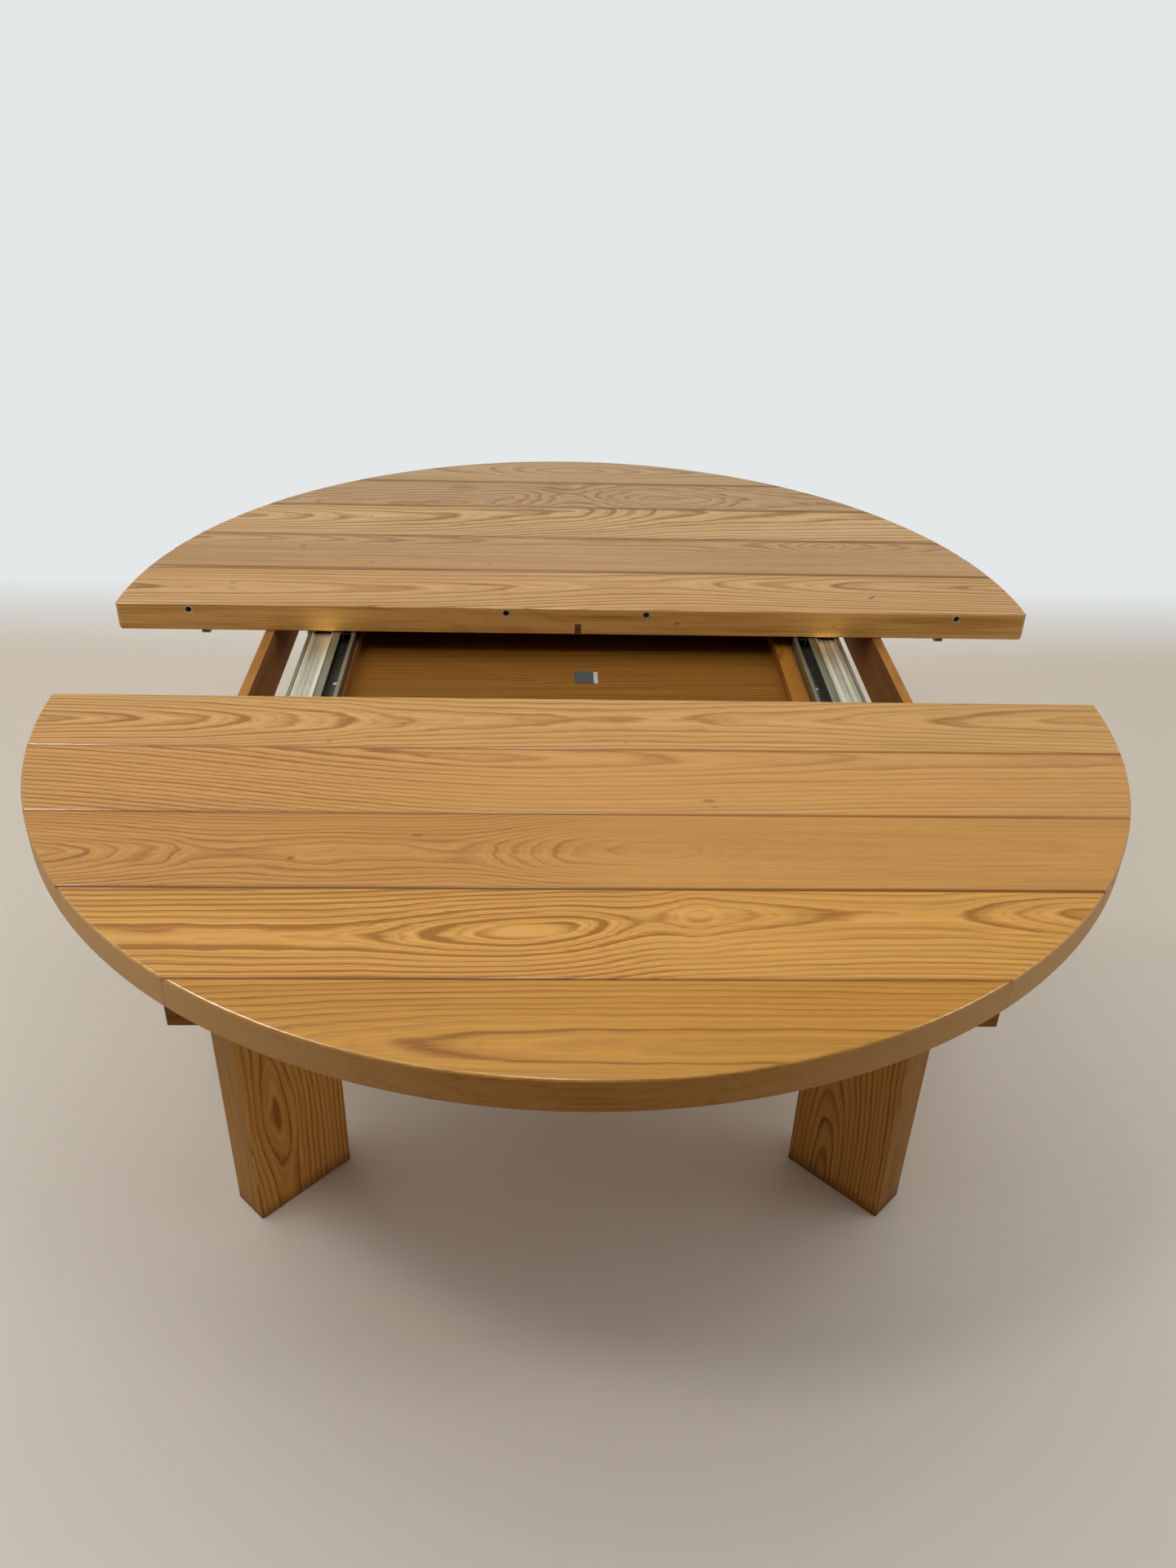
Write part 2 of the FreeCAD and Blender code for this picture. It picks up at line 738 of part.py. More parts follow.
def build_near_half():
    """The half that stands open, with its pins, bolts and ball cages."""
    pins, tools, guides = [], [], []
    for x in pin_places:
        pins.append(pin(x))
        tools.append(rod((x, 0, pin_height), (0, 1, 0), pin_radius + pin_fit, pin_seat * 2))
    for name, side in sides.items():
        for back in (front_guide_back, rear_guide_back):
            guides.append(staple(side * bolt_place, near * back))
            tools += staple_slots(side * bolt_place, near * back)
        save("bolt_" + name, [bolt(side)], near_shift)
    lane = (outer_slide_place, outer_slide_width)
    runner_span = (-runner_reach, runner_reach)
    build_half("near", near, near_shift, near_joint_shares, lane, runner_span, tools)
    save("locating_pins", pins, near_shift)
    save("bolt_guides", guides, near_shift)
    half_length = runner_reach - half_travel / 2 - cage_margin
    row = (0, half_length, near_ball_count)
    cages = [cage(side, *lane, *row) for side in sides.values()]
    spheres = [ball for side in sides.values() for ball in balls(side, *lane, *row)]
    save("near_ball_cages", cages, near_cage_shift)
    save("near_balls", spheres, near_cage_shift)


def build_far_half():
    """The half that stands closed, with its sleeves, key, keepers and ball cages."""
    sleeves, tools, keepers = [], [], []
    for x in pin_places:
        tube = rod((x, sleeve_length / 2, pin_height), (0, 1, 0), sleeve_radius, sleeve_length)
        bore = rod((x, 0, pin_height), (0, 1, 0), pin_radius + sleeve_play, sleeve_length * 4)
        sleeves.append(tube.cut(bore))
        tools.append(rod((x, 0, pin_height), (0, 1, 0), sleeve_radius + pin_fit, sleeve_length * 2))
    for side in sides.values():
        keepers.append(staple(side * bolt_place, far * keeper_back))
        tools += staple_slots(side * bolt_place, far * keeper_back)
    key_x = (key_place - key_width / 2, key_place + key_width / 2)
    key = block(key_x, (0, key_depth), (underside, underside + key_height))
    recess_x = (key_x[0] - key_fit, key_x[1] + key_fit)
    recess_z = (underside - overrun, underside + key_height + key_fit)
    tools.append(block(recess_x, (-overrun, key_depth), recess_z))
    lane = (slide_place, inner_slide_width)
    runner_span = (far_runner_start, runner_reach)
    build_half("far", far, base_shift, far_joint_shares, lane, runner_span, tools)
    save("pin_sleeves", sleeves, base_shift)
    save("bolt_keepers", keepers, base_shift)
    save("meeting_key", [key], base_shift)
    middle = (far_runner_start + runner_reach) / 2
    half_length = (slide_reach - far_runner_start - half_travel) / 2 - cage_margin
    row = (middle, half_length, far_ball_count)
    cages = [cage(side, *lane, *row) for side in sides.values()]
    spheres = [ball for side in sides.values() for ball in balls(side, *lane, *row)]
    save("far_ball_cages", cages, base_shift)
    save("far_balls", spheres, base_shift)


os.makedirs("parts", exist_ok=True)
build_base()
build_near_half()
build_far_half()
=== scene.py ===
"""Looks of a round extending table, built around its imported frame."""
import logging
import math
from dataclasses import asdict, dataclass, field, fields, replace
from enum import Enum
from typing import Any, Sequence

import bmesh
import bpy
from mathutils import Euler, Matrix, Vector


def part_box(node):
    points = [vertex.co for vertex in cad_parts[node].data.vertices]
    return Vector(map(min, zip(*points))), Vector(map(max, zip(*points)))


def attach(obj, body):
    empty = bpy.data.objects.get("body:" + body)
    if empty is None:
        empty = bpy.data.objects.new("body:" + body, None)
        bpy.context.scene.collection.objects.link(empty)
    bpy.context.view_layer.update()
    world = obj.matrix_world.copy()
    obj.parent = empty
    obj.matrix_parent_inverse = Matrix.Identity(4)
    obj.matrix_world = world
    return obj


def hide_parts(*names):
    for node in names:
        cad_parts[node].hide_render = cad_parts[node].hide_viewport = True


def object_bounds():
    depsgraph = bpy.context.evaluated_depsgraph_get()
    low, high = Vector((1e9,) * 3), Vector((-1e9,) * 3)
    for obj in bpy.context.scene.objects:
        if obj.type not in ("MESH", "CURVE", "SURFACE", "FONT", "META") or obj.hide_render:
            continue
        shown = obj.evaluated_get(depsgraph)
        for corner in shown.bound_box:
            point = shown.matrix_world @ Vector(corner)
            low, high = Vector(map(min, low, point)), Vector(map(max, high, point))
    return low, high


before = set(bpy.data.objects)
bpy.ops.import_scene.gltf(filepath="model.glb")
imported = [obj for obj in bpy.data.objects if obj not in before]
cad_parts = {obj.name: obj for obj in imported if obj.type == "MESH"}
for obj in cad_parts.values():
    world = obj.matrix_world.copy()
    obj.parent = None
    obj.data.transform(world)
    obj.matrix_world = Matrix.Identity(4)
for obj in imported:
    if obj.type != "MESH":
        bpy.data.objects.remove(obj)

CAD_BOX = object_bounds()
LOG = logging.getLogger("extending_table")

Pair = tuple[float, float]
Triple = tuple[float, float, float]
Stops = Sequence[Pair]

RELIEF_STRENGTH = 0.10
SEED_STEP: Triple = (7.3, 3.1, 5.7)


class Signal:
    """A shader socket with arithmetic: each operation on it adds a Math node."""

    def __init__(self, tree: "NodeGraph", socket: bpy.types.NodeSocket) -> None:
        """Keeps the output socket and the tree that new nodes go into."""
        self.tree = tree
        self.socket = socket

    def math(self, operation: str, *others: "Signal | float") -> "Signal":
        """Adds a Math node whose first input is this signal."""
        values = dict(enumerate((self, *others)))
        return self.tree.node("ShaderNodeMath", {"operation": operation}, values)

    def __add__(self, other: "Signal | float") -> "Signal":
        """Sum of two values."""
        return self.math("ADD", other)

    def __sub__(self, other: "Signal | float") -> "Signal":
        """Difference of two values."""
        return self.math("SUBTRACT", other)

    def __rsub__(self, other: float) -> "Signal":
        """Difference from a number on the left."""
        return self.tree.node("ShaderNodeMath", {"operation": "SUBTRACT"}, {0: other, 1: self})

    def __mul__(self, other: "Signal | float") -> "Signal":
        """Product of two values."""
        return self.math("MULTIPLY", other)

    def __truediv__(self, other: "Signal | float") -> "Signal":
        """Quotient of two values."""
        return self.math("DIVIDE", other)

    __radd__ = __add__
    __rmul__ = __mul__

    def squared(self) -> "Signal":
        """This value times itself."""
        return self.math("MULTIPLY", self)


class NodeGraph:
    """A node tree of any kind and the nodes that are added to it."""

    def __init__(self, tree: bpy.types.NodeTree) -> None:
        """Empties a node tree.

        Args:
            tree: The tree to fill.
        """
        self.nodes = tree.nodes
        self.links = tree.links
        self.nodes.clear()

    def node(
        self,
        kind: str,
        settings: dict[str, Any] | None = None,
        values: dict[str | int, Any] | None = None,
        output: str | int = 0,
    ) -> Signal:
        """Adds one node, sets it up and feeds its sockets.

        Args:
            kind: The node's type.
            settings: Its own settings; stops are those of a colour ramp.
            values: Numbers, tuples, signals or lists of signals by socket name or index.
            output: The output socket to read.

        Returns:
            The chosen output.
        """
        made = self.nodes.new(kind)
        for key, value in (settings or {}).items():
            if key == "stops":
                self._set_stops(made.color_ramp, value)
            elif key == "blend_between":
                made.color_ramp.interpolation = value
            else:
                setattr(made, key, value)
        for key, value in (values or {}).items():
            for given in value if isinstance(value, list) else [value]:
                if isinstance(given, Signal):
                    self.links.new(given.socket, made.inputs[key])
                else:
                    made.inputs[key].default_value = given
        return Signal(self, made.outputs[output] if made.outputs else None)

    def vector(self, x: Signal | float = 0.0, y: Signal | float = 0.0, z: Signal | float = 0.0) -> Signal:
        """A vector from its three parts."""
        return self.node("ShaderNodeCombineXYZ", {}, {0: x, 1: y, 2: z})

    def ray(self, kind: str) -> Signal:
        """1 for light rays of one kind, such as Camera."""
        return self.node("ShaderNodeLightPath", {}, {}, f"Is {kind} Ray")

    @staticmethod
    def _set_stops(ramp: bpy.types.ColorRamp, stops: Stops) -> None:
        """Gives a colour ramp grey stops.

        Args:
            ramp: The ramp to fill.
            stops: Places from 0 to 1 and the grey at each.
        """
        while len(ramp.elements) < len(stops):
            ramp.elements.new(1.0)
        for element, (place, grey) in zip(ramp.elements, stops):
            element.position = place
            element.color = (grey, grey, grey, 1.0)


class ShaderTree(NodeGraph):
    """A new material and the nodes that are added to it."""

    def __init__(self, name: str) -> None:
        """Starts an empty material.

        Args:
            name: The material's name.
        """
        self.material = bpy.data.materials.new(name)
        self.material.use_nodes = True
        super().__init__(self.material.node_tree)

    def point(self) -> Signal:
        """The point that is shaded, in the object's own directions."""
        return self.node("ShaderNodeTexCoord", {}, {}, "Object")

    def curve(self, along: Signal, stops: Stops) -> Signal | float:
        """A smooth curve through stops of any value.

        Args:
            along: Where to read the curve, from 0 to 1.
            stops: Places from 0 to 1 and the value at each.

        Returns:
            The curve's value.
        """
        low = min(value for _, value in stops)
        span = max(value for _, value in stops) - low
        if span == 0:
            return low
        greys = [(place, (value - low) / span) for place, value in stops]
        settings = {"stops": greys, "blend_between": "B_SPLINE"}
        return self.node("ShaderNodeValToRGB", settings, {"Fac": along}) * span + low

    def noise(self, where: Signal, stretch: Triple, seed: float, detail: float = 2.0) -> Signal:
        """Smooth noise around zero, about -1 to 1.

        Args:
            where: The point to read it at.
            stretch: How many features there are to a metre, along each axis.
            seed: Moves the pattern.
            detail: How many finer octaves are added.

        Returns:
            The noise.
        """
        shift = tuple(seed * step for step in SEED_STEP)
        moved = self.node("ShaderNodeMapping", {}, {"Vector": where, "Scale": stretch, "Location": shift})
        raw = self.node("ShaderNodeTexNoise", {}, {"Vector": moved, "Scale": 1.0, "Detail": detail})
        return (raw - 0.5) * 2.0

    def remap(self, value: Signal, ends: Pair, low: float = 0.0, high: float = 1.0) -> Signal:
        """Maps the range between two ends straight onto low to high, and holds it beyond them."""
        start, end = ends
        return self.node("ShaderNodeMapRange", {}, {0: value, 1: start, 2: end, 3: low, 4: high})

    def relief(self, height: Signal, distance: float) -> Signal:
        """The normal of a faint relief that is so many metres deep."""
        values = {"Strength": RELIEF_STRENGTH, "Distance": distance, "Height": height}
        return self.node("ShaderNodeBump", {}, values)

    def parts(self, vector: Signal) -> list[Signal]:
        """The x, y and z of a vector."""
        first = self.node("ShaderNodeSeparateXYZ", {}, {0: vector})
        return [Signal(self, socket) for socket in first.socket.node.outputs]

    def mix(self, factor: Signal | float, first: Any, second: Any, blend: str = "MIX") -> Signal:
        """Mixes two colours.

        Args:
            factor: How much of the second colour, from 0 to 1.
            first: The first colour.
            second: The second colour.
            blend: The Mix node's way of blending.

        Returns:
            The mixed colour.
        """
        settings = {"data_type": "RGBA", "blend_type": blend, "clamp_factor": True}
        values = {0: factor, 6: opaque(first), 7: opaque(second)}
        return self.node("ShaderNodeMix", settings, values, output=2)

    def surface(self, values: dict[str, Any]) -> bpy.types.Material:
        """Ends the tree in a Principled shader.

        Args:
            values: The shader's inputs by name.

        Returns:
            The finished material.
        """
        shader = self.node("ShaderNodeBsdfPrincipled", {}, values)
        self.node("ShaderNodeOutputMaterial", {}, {"Surface": shader})
        return self.material


def opaque(colour: Any) -> Any:
    """A plain colour with its alpha added, or a signal as it is."""
    return colour if isinstance(colour, Signal) else (*colour, 1.0)


class Grain(Enum):
    """Which way the grain of a piece runs, as the turn that lays it along x."""

    ALONG_X = (0.0, 0.0, 0.0)
    ALONG_Y = (0.0, 0.0, math.pi / 2)
    UPRIGHT_FRONT_LEFT = (0.0, -math.pi / 2, 3 * math.pi / 4)
    UPRIGHT_FRONT_RIGHT = (0.0, -math.pi / 2, math.pi / 4)
    UPRIGHT_BACK_LEFT = (0.0, -math.pi / 2, -3 * math.pi / 4)
    UPRIGHT_BACK_RIGHT = (0.0, -math.pi / 2, -math.pi / 4)


@dataclass(frozen=True)
class Mark:
    """A small knot, pit, scratch or pale eye, measured from the middle of the show face."""

    along: float
    across: float
    length: float
    width: float
    slope: float = 0.0
    strength: float = 0.6
    pale: bool = False


@dataclass(frozen=True)
class Joint:
    """The darkening in one long joint, partly dirt and partly painted shade: its place across the board,
    half width and strength.
    """

    across: float
    reach: float
    strength: float


@dataclass(frozen=True)
class Figure:
    """How one piece of wood was sawn from its log, which gives its figure.

    Shares run along the piece from its low end to its high end. Pith is how far the
    log's middle lies to the side of the piece's own middle line, and depth how far it
    lies below the face, both in metres.
    """

    depth: Stops
    pith: Stops = ((0.0, 0.0), (1.0, 0.0))
    fade: Stops = ((0.0, 1.0), (1.0, 1.0))
    ring: float = 0.0065
    phase: float = 0.0
    uneven: float = 0.35
    wander: float = 0.008
    wobble: float = 0.0016
    contrast: float = 1.0
    # tone multiplies the colour; it is partly a piece's own tone and partly painted light and shade
    tone: Triple = (1.0, 1.0, 1.0)
    side_figure: float = 0.45
    # side_shade is painted shade: how far the faces other than the top are mixed towards the dark joint
    # colour
    side_shade: float = 0.0
    side_tone: float = 1.0
    foot: float = 0.0
    joints: tuple[Joint, ...] = ()
    marks: tuple[Mark, ...] = ()


@dataclass(frozen=True)
class Cut:
    """One piece of wood: the middle of its show face, its length, grain, figure and noise seed."""

    place: Vector
    length: float
    grain: Grain
    figure: Figure
    seed: float


LATEWOOD: Stops = ((0.0, 0.0), (0.25, 0.02), (0.50, 0.14), (0.68, 0.60), (0.78, 1.0), (0.86, 1.0),
                   (0.93, 0.30), (1.0, 0.0))


class Noise(Enum):
    """A noise in the wood: features to a metre along, across and into it, seed and detail."""

    WANDER = ((1.6, 9.0, 9.0), 0.0, 2.0)
    WOBBLE = ((11.0, 38.0, 38.0), 1.7, 2.0)
    YEARS = ((48.0, 1.0, 1.0), 3.1, 2.0)
    FIBRE = ((7.0, 520.0, 520.0), 4.3, 3.0)
    STREAK = ((2.6, 95.0, 95.0), 5.9, 2.0)
    CLOUD = ((2.0, 6.0, 6.0), 7.7, 2.0)
    PORES = ((55.0, 1300.0, 1300.0), 9.1, 1.0)
    PITS = ((70.0, 90.0, 160.0), 11.3, 2.0)


class SawnPiece:
    """The signals that one piece of wood gives at each of its points."""

    ring_fibre, ring_streak = 0.13, 0.10
    year_pale, year_span = 0.4, 0.6
    fine_count, fine_start, fine_share = 2.6, 0.4, 0.22
    fibre_share, streak_share, cloud_share, ground_share = 0.30, 0.28, 0.13, 0.12
    edge_fibre, edge_streak = 0.85, 0.80
    lid_facing, beneath_facing = (0.1, 0.7), (-0.98, -0.85)
    mark_edge, mark_streak = (0.45, 1.1), 0.3

    def __init__(self, tree: ShaderTree, cut: Cut) -> None:
        """Lays the piece in its log.

        Args:
            tree: The tree to add to.
            cut: The piece.
        """
        self.tree = tree
        self.figure = cut.figure
        self.seed = cut.seed
        turn = {"vector_type": "TEXTURE"}
        laid = {"Vector": tree.point(), "Location": tuple(cut.place), "Rotation": cut.grain.value}
        self.local = tree.node("ShaderNodeMapping", turn, laid)
        self.along, self.across, self.up = tree.parts(self.local)
        self.share = self.along / cut.length + 0.5
        normal = tree.node("ShaderNodeTexCoord", {}, {}, "Normal")
        turned = tree.node("ShaderNodeMapping", turn, {"Vector": normal, "Rotation": cut.grain.value})
        self.normal = tree.parts(turned)
        self.beneath = tree.remap(self.normal[2], self.beneath_facing, 1.0, 0.0)
        self.lid = tree.remap(self.normal[2], self.lid_facing).math("MAXIMUM", self.beneath)
        self.side = 1.0 - self.lid
        self.fibre = self.noise(Noise.FIBRE)
        self.streak = self.noise(Noise.STREAK)
        self.cloud = self.noise(Noise.CLOUD)
        self.rings = self._rings()
        self.late = tree.curve(self.rings.math("FRACT"), LATEWOOD)

    def noise(self, kind: Noise, where: Signal | None = None) -> Signal:
        """One of the wood's noises, at the piece's own point or another."""
        features, seed, detail = kind.value
        return self.tree.noise(where or self.local, features, self.seed + seed, detail)

    def _rings(self) -> Signal:
        """Counts the rings between the log's middle and the point.

        Returns:
            The count, whose fraction is the place within a year.
        """
        tree, figure = self.tree, self.figure
        wander = self.noise(Noise.WANDER) * figure.wander
        wobble = self.noise(Noise.WOBBLE) * figure.wobble
        sideways = self.across - tree.curve(self.share, figure.pith) + wander
        below = self.up + tree.curve(self.share, figure.depth) + wobble
        radius = (sideways.squared() + below.squared()).math("SQRT") + wobble
        uneven = self.noise(Noise.YEARS, tree.vector(radius))
        rings = radius / figure.ring + uneven * figure.uneven
        return rings + self.fibre * self.ring_fibre + self.streak * self.ring_streak + figure.phase

    def lines(self) -> Signal:
        """How dark the figure is.

        Returns:
            The share of the dark colour.
        """
        tree, figure = self.tree, self.figure
        settings = {"noise_dimensions": "1D"}
        year = tree.node("ShaderNodeTexWhiteNoise", settings, {"W": self.rings.math("FLOOR") + self.seed})
        fine = tree.curve((self.rings * self.fine_count + self.fine_start).math("FRACT"), LATEWOOD)
        flat = self.normal[2].math("ABSOLUTE")
        facing = flat * (1.0 - figure.side_figure) + figure.side_figure
        strength = tree.curve(self.share, figure.fade) * facing * figure.contrast
        edge = (self.streak * self.edge_streak + self.fibre * self.edge_fibre) * (1.0 - flat)
        ground = self.fibre * self.fibre_share + self.streak * self.streak_share
        ground = ground + self.cloud * self.cloud_share
        years = self.late * (year * self.year_span + self.year_pale) + fine * self.fine_share
        return years * strength + (ground + edge) + self.ground_share

    def mark(self, mark: Mark) -> Signal:
        """Where a small mark lies.

        Args:
            mark: The mark.

        Returns:
            How much of the mark shows, from 0 to its strength.
        """
        forward = self.along - mark.along
        aside = self.across - mark.across - forward * mark.slope
        reach = ((forward / mark.length).squared() + (aside / mark.width).squared()).math("SQRT")
        ragged = reach + self.streak * self.mark_streak
        return self.tree.remap(ragged, self.mark_edge, mark.strength, 0.0) * self.lid


@dataclass(frozen=True)
class WoodFinish:
    """Varnished wood: rings, fibres and pores in a solid block, so faces agree at their edges."""

    pale: Triple
    dark: Triple
    pore: Triple
    # the dark colour of the joints, used for their dirt and for the painted shade on sides and undersides
    groove: Triple = (0.26, 0.095, 0.010)
    roughness: float = 0.44
    coat: float = 0.20
    coat_roughness: float = 0.12
    gloss: float = 0.10
    # end: the colour of faces along the grain, darker end grain on most woods and a painted sheen on the top
    # boards' rim
    end: Triple = (0.16, 0.056, 0.008)
    end_share: float = 0.25
    relief: float = 0.0005

    pore_noise, pore_share = (0.28, 0.62), 0.55
    pore_late, pore_early = 0.7, 0.3
    rough_fibre, rough_late, rough_cloud, rough_side = 0.05, 0.04, 0.03, 0.12
    raised_fibre, raised_late, sunk_pore = 0.4, 0.5, 0.8
    coat_lid, coat_side = 0.85, 0.15
    foot_cloud, foot_streak, foot_share = 0.01, 0.006, 0.7
    spot_noise, spot_share = (0.42, 0.62), 0.6
    beneath_share = 0.55
    end_facing, joint_facing = (0.12, 0.62), (0.02, 0.25)
    joint_core = 0.55

    def material(self, name: str, cut: Cut) -> bpy.types.Material:
        """Makes the material of one piece.

        Args:
            name: The material's name.
            cut: The piece.

        Returns:
            The material.
        """
        tree = ShaderTree(name)
        piece = SawnPiece(tree, cut)
        pores = tree.remap(piece.noise(Noise.PORES), self.pore_noise, 0.0, self.pore_share)
        colour = tree.mix(piece.lines(), self.pale, self.dark)
        colour = tree.mix(pores * (piece.late * self.pore_late + self.pore_early), colour, self.pore)
        for mark in cut.figure.marks:
            colour = tree.mix(piece.mark(mark), colour, self.pale if mark.pale else self.pore)
        colour = self._toned(piece, self._worn(piece, colour))
        rough = piece.fibre * self.rough_fibre + piece.late * self.rough_late
        rough = rough + piece.cloud * self.rough_cloud + piece.side * self.rough_side
        height = piece.fibre * self.raised_fibre + piece.late * self.raised_late - pores * self.sunk_pore
        return tree.surface({
            "Base Color": colour,
            "Roughness": rough + self.roughness,
            "Coat Weight": (piece.lid * self.coat_lid + self.coat_side) * self.coat,
            "Coat Roughness": self.coat_roughness,
            "Specular IOR Level": self.gloss,
            "Normal": tree.relief(height, self.relief),
        })

    def dress(self, node: str, cut: Cut) -> None:
        """Gives a node its own piece of this wood."""
        dress(node, self.material(f"{node}_wood", cut))

    def _worn(self, piece: SawnPiece, colour: Signal) -> Signal:
        """Darkens the foot towards the bottom, and paints shade on the sides and the underside.

        Args:
            piece: The piece's signals.
            colour: The colour so far.

        Returns:
            The darkened colour.
        """
        tree, figure = piece.tree, piece.figure
        # Darker towards the foot of a leg.
        if figure.foot:
            height = piece.share + piece.cloud * self.foot_cloud + piece.streak * self.foot_streak
            foot_darkening = tree.remap(height, (0.0, figure.foot), self.foot_share, 0.0)
            colour = tree.mix(foot_darkening, colour, self.pore)
        # Painted shade: the sides, and the underside, are mixed towards the dark joint colour.
        if figure.side_shade:
            spots = tree.remap(piece.noise(Noise.PITS), self.spot_noise, 0.0, self.spot_share)
            colour = tree.mix(piece.side * figure.side_shade, colour, self.groove)
            colour = tree.mix(spots * piece.side, colour, self.pore)
            colour = tree.mix(piece.beneath * self.beneath_share, colour, self.groove)
        return colour

    def _toned(self, piece: SawnPiece, colour: Signal) -> Signal:
        """Adds the end grain (a painted sheen on the top boards), the piece's tone (partly painted light)
        and the dirt and painted shade in its joints.

        Args:
            piece: The piece's signals.
            colour: The colour so far.

        Returns:
            The finished colour.
        """
        tree, figure = piece.tree, piece.figure
        # End grain on most woods; on the top boards the end colour is a painted sheen that makes the rim
        # paler towards its left and right sides.
        ends = tree.remap(piece.normal[0].math("ABSOLUTE"), self.end_facing, 0.0, self.end_share)
        colour = tree.mix(ends, colour, self.end)
        toned = tree.mix(1.0, colour, figure.tone, "MULTIPLY")
        colour = tree.mix(piece.lid * (1.0 - figure.side_tone) + figure.side_tone, colour, toned)
        # Dirt and painted shade in each joint: its arris is mixed towards the dark joint colour.
        shown = tree.remap(piece.normal[2], self.joint_facing)
        for joint in figure.joints:
            gap = (piece.across - joint.across).math("ABSOLUTE")
            dirt = tree.remap(gap, (joint.reach * self.joint_core, joint.reach), joint.strength, 0.0)
            colour = tree.mix(dirt * shown, colour, self.groove)
        return colour


@dataclass(frozen=True)
class MetalFinish:
    """Plated sheet steel with drawn streaks and dull patches."""

    colour: Triple
    dull: Triple
    roughness: float = 0.30
    streaks: Triple = (900.0, 6.0, 900.0)
    patches: Triple = (38.0, 14.0, 38.0)
    bands: Triple = (170.0, 2.0, 60.0)
    floor: Triple | None = None
    floor_heights: Pair = (0.0, 1.0)
    floor_share: float = 0.88
    relief: float = 0.0003

    patch_seed, band_seed = 2.3, 4.1
    dull_patches, dull_bands, dull_streaks, dull_share = 0.35, 1.2, 0.15, 0.35
    rough_patches, rough_streaks = 0.08, 0.06

    def material(self, name: str, seed: float) -> bpy.types.Material:
        """Makes the metal.

        Args:
            name: The material's name.
            seed: Moves the noise.

        Returns:
            The material.
        """
        tree = ShaderTree(name)
        where = tree.point()
        drawn = tree.noise(where, self.streaks, seed, 2.0)
        patches = tree.noise(where, self.patches, seed + self.patch_seed, 3.0)
        bands = tree.noise(where, self.bands, seed + self.band_seed, 1.0)
        dull = patches * self.dull_patches + bands * self.dull_bands + drawn * self.dull_streaks
        colour = tree.mix(dull + self.dull_share, self.colour, self.dull)
        # The floor colour makes the metal darker towards the bottom, below floor_heights.
        if self.floor:
            bottom_darkening = tree.remap(tree.parts(where)[2], self.floor_heights, self.floor_share, 0.0)
            colour = tree.mix(bottom_darkening, colour, self.floor)
        rough = patches * self.rough_patches + drawn * self.rough_streaks + self.roughness
        normal = tree.relief(drawn, self.relief)
        return tree.surface({"Base Color": colour, "Roughness": rough, "Metallic": 1.0, "Normal": normal})


@dataclass(frozen=True)
class PlateFinish:
    """Thin plate with a fine mottled surface."""

    colour: Triple
    roughness: float = 0.45

    features = (700.0, 700.0, 700.0)
    dark_share, mottle_share, mottle_middle, rough_mottle = 0.7, 0.5, 0.4, 0.08

    def material(self, name: str, seed: float) -> bpy.types.Material:
        """Makes the plate's material.

        Args:
            name: The material's name.
            seed: Moves the noise.

        Returns:
            The material.
        """
        tree = ShaderTree(name)
        mottle = tree.noise(tree.point(), self.features, seed, 2.0)
        darker = tuple(channel * self.dark_share for channel in self.colour)
        colour = tree.mix(mottle * self.mottle_share + self.mottle_middle, self.colour, darker)
        rough = mottle * self.rough_mottle + self.roughness
        return tree.surface({"Base Color": colour, "Roughness": rough})


# Finishes of the woods, the metals and the plate
# TOP_WOOD's end colour is a painted sheen: the rim turns paler and greyer towards its left and right sides.
TOP_WOOD = WoodFinish(pale=(0.76, 0.415, 0.118), dark=(0.38, 0.155, 0.017), pore=(0.18, 0.063, 0.006),
                      end=(0.61, 0.35, 0.135), end_share=0.88)
LEG_WOOD = WoodFinish(pale=(0.72, 0.345, 0.075), dark=(0.33, 0.125, 0.016), pore=(0.13, 0.045, 0.007),
                      groove=(0.22, 0.108, 0.030), coat=0.05)
RAIL_WOOD = WoodFinish(pale=(0.50, 0.215, 0.042), dark=(0.22, 0.078, 0.011), pore=(0.13, 0.045, 0.008),
                       groove=(0.12, 0.046, 0.010), roughness=0.55, coat=0.0, gloss=0.08)
# VENEER's dark colour is partly the wood's own and partly painted shade of the well.
VENEER = WoodFinish(pale=(0.34, 0.142, 0.018), dark=(0.14, 0.049, 0.005), pore=(0.09, 0.031, 0.004),
                    roughness=0.5, coat=0.0, gloss=0.06)
PLAIN_TIMBER = WoodFinish(pale=(0.52, 0.340, 0.170), dark=(0.34, 0.200, 0.085), pore=(0.24, 0.140, 0.060),
                          roughness=0.6, coat=0.0)
KEY_WOOD = WoodFinish(pale=(0.22, 0.080, 0.030), dark=(0.09, 0.030, 0.012), pore=(0.04, 0.014, 0.006))
BRIGHT_ZINC = MetalFinish(colour=(0.68, 0.65, 0.50), dull=(0.17, 0.15, 0.09), roughness=0.36)
SCREW_ZINC = MetalFinish(colour=(0.90, 0.89, 0.82), dull=(0.55, 0.53, 0.45))
# The channels' floor colour makes them darker towards the bottom.
DARK_CHANNEL_ZINC = MetalFinish(colour=(0.24, 0.225, 0.155), dull=(0.12, 0.11, 0.07), roughness=0.36,
                           floor=(0.055, 0.055, 0.047), floor_heights=(0.6655, 0.6755))
DULL_STEEL = MetalFinish(colour=(0.46, 0.44, 0.38), dull=(0.26, 0.24, 0.20), roughness=0.42)
SLEEVE_METAL = MetalFinish(colour=(0.66, 0.64, 0.56), dull=(0.40, 0.38, 0.32), roughness=0.40)
PLATE_DARK = PlateFinish(colour=(0.020, 0.025, 0.026), roughness=0.6)
PLATE_PALE = PlateFinish(colour=(0.62, 0.60, 0.54))


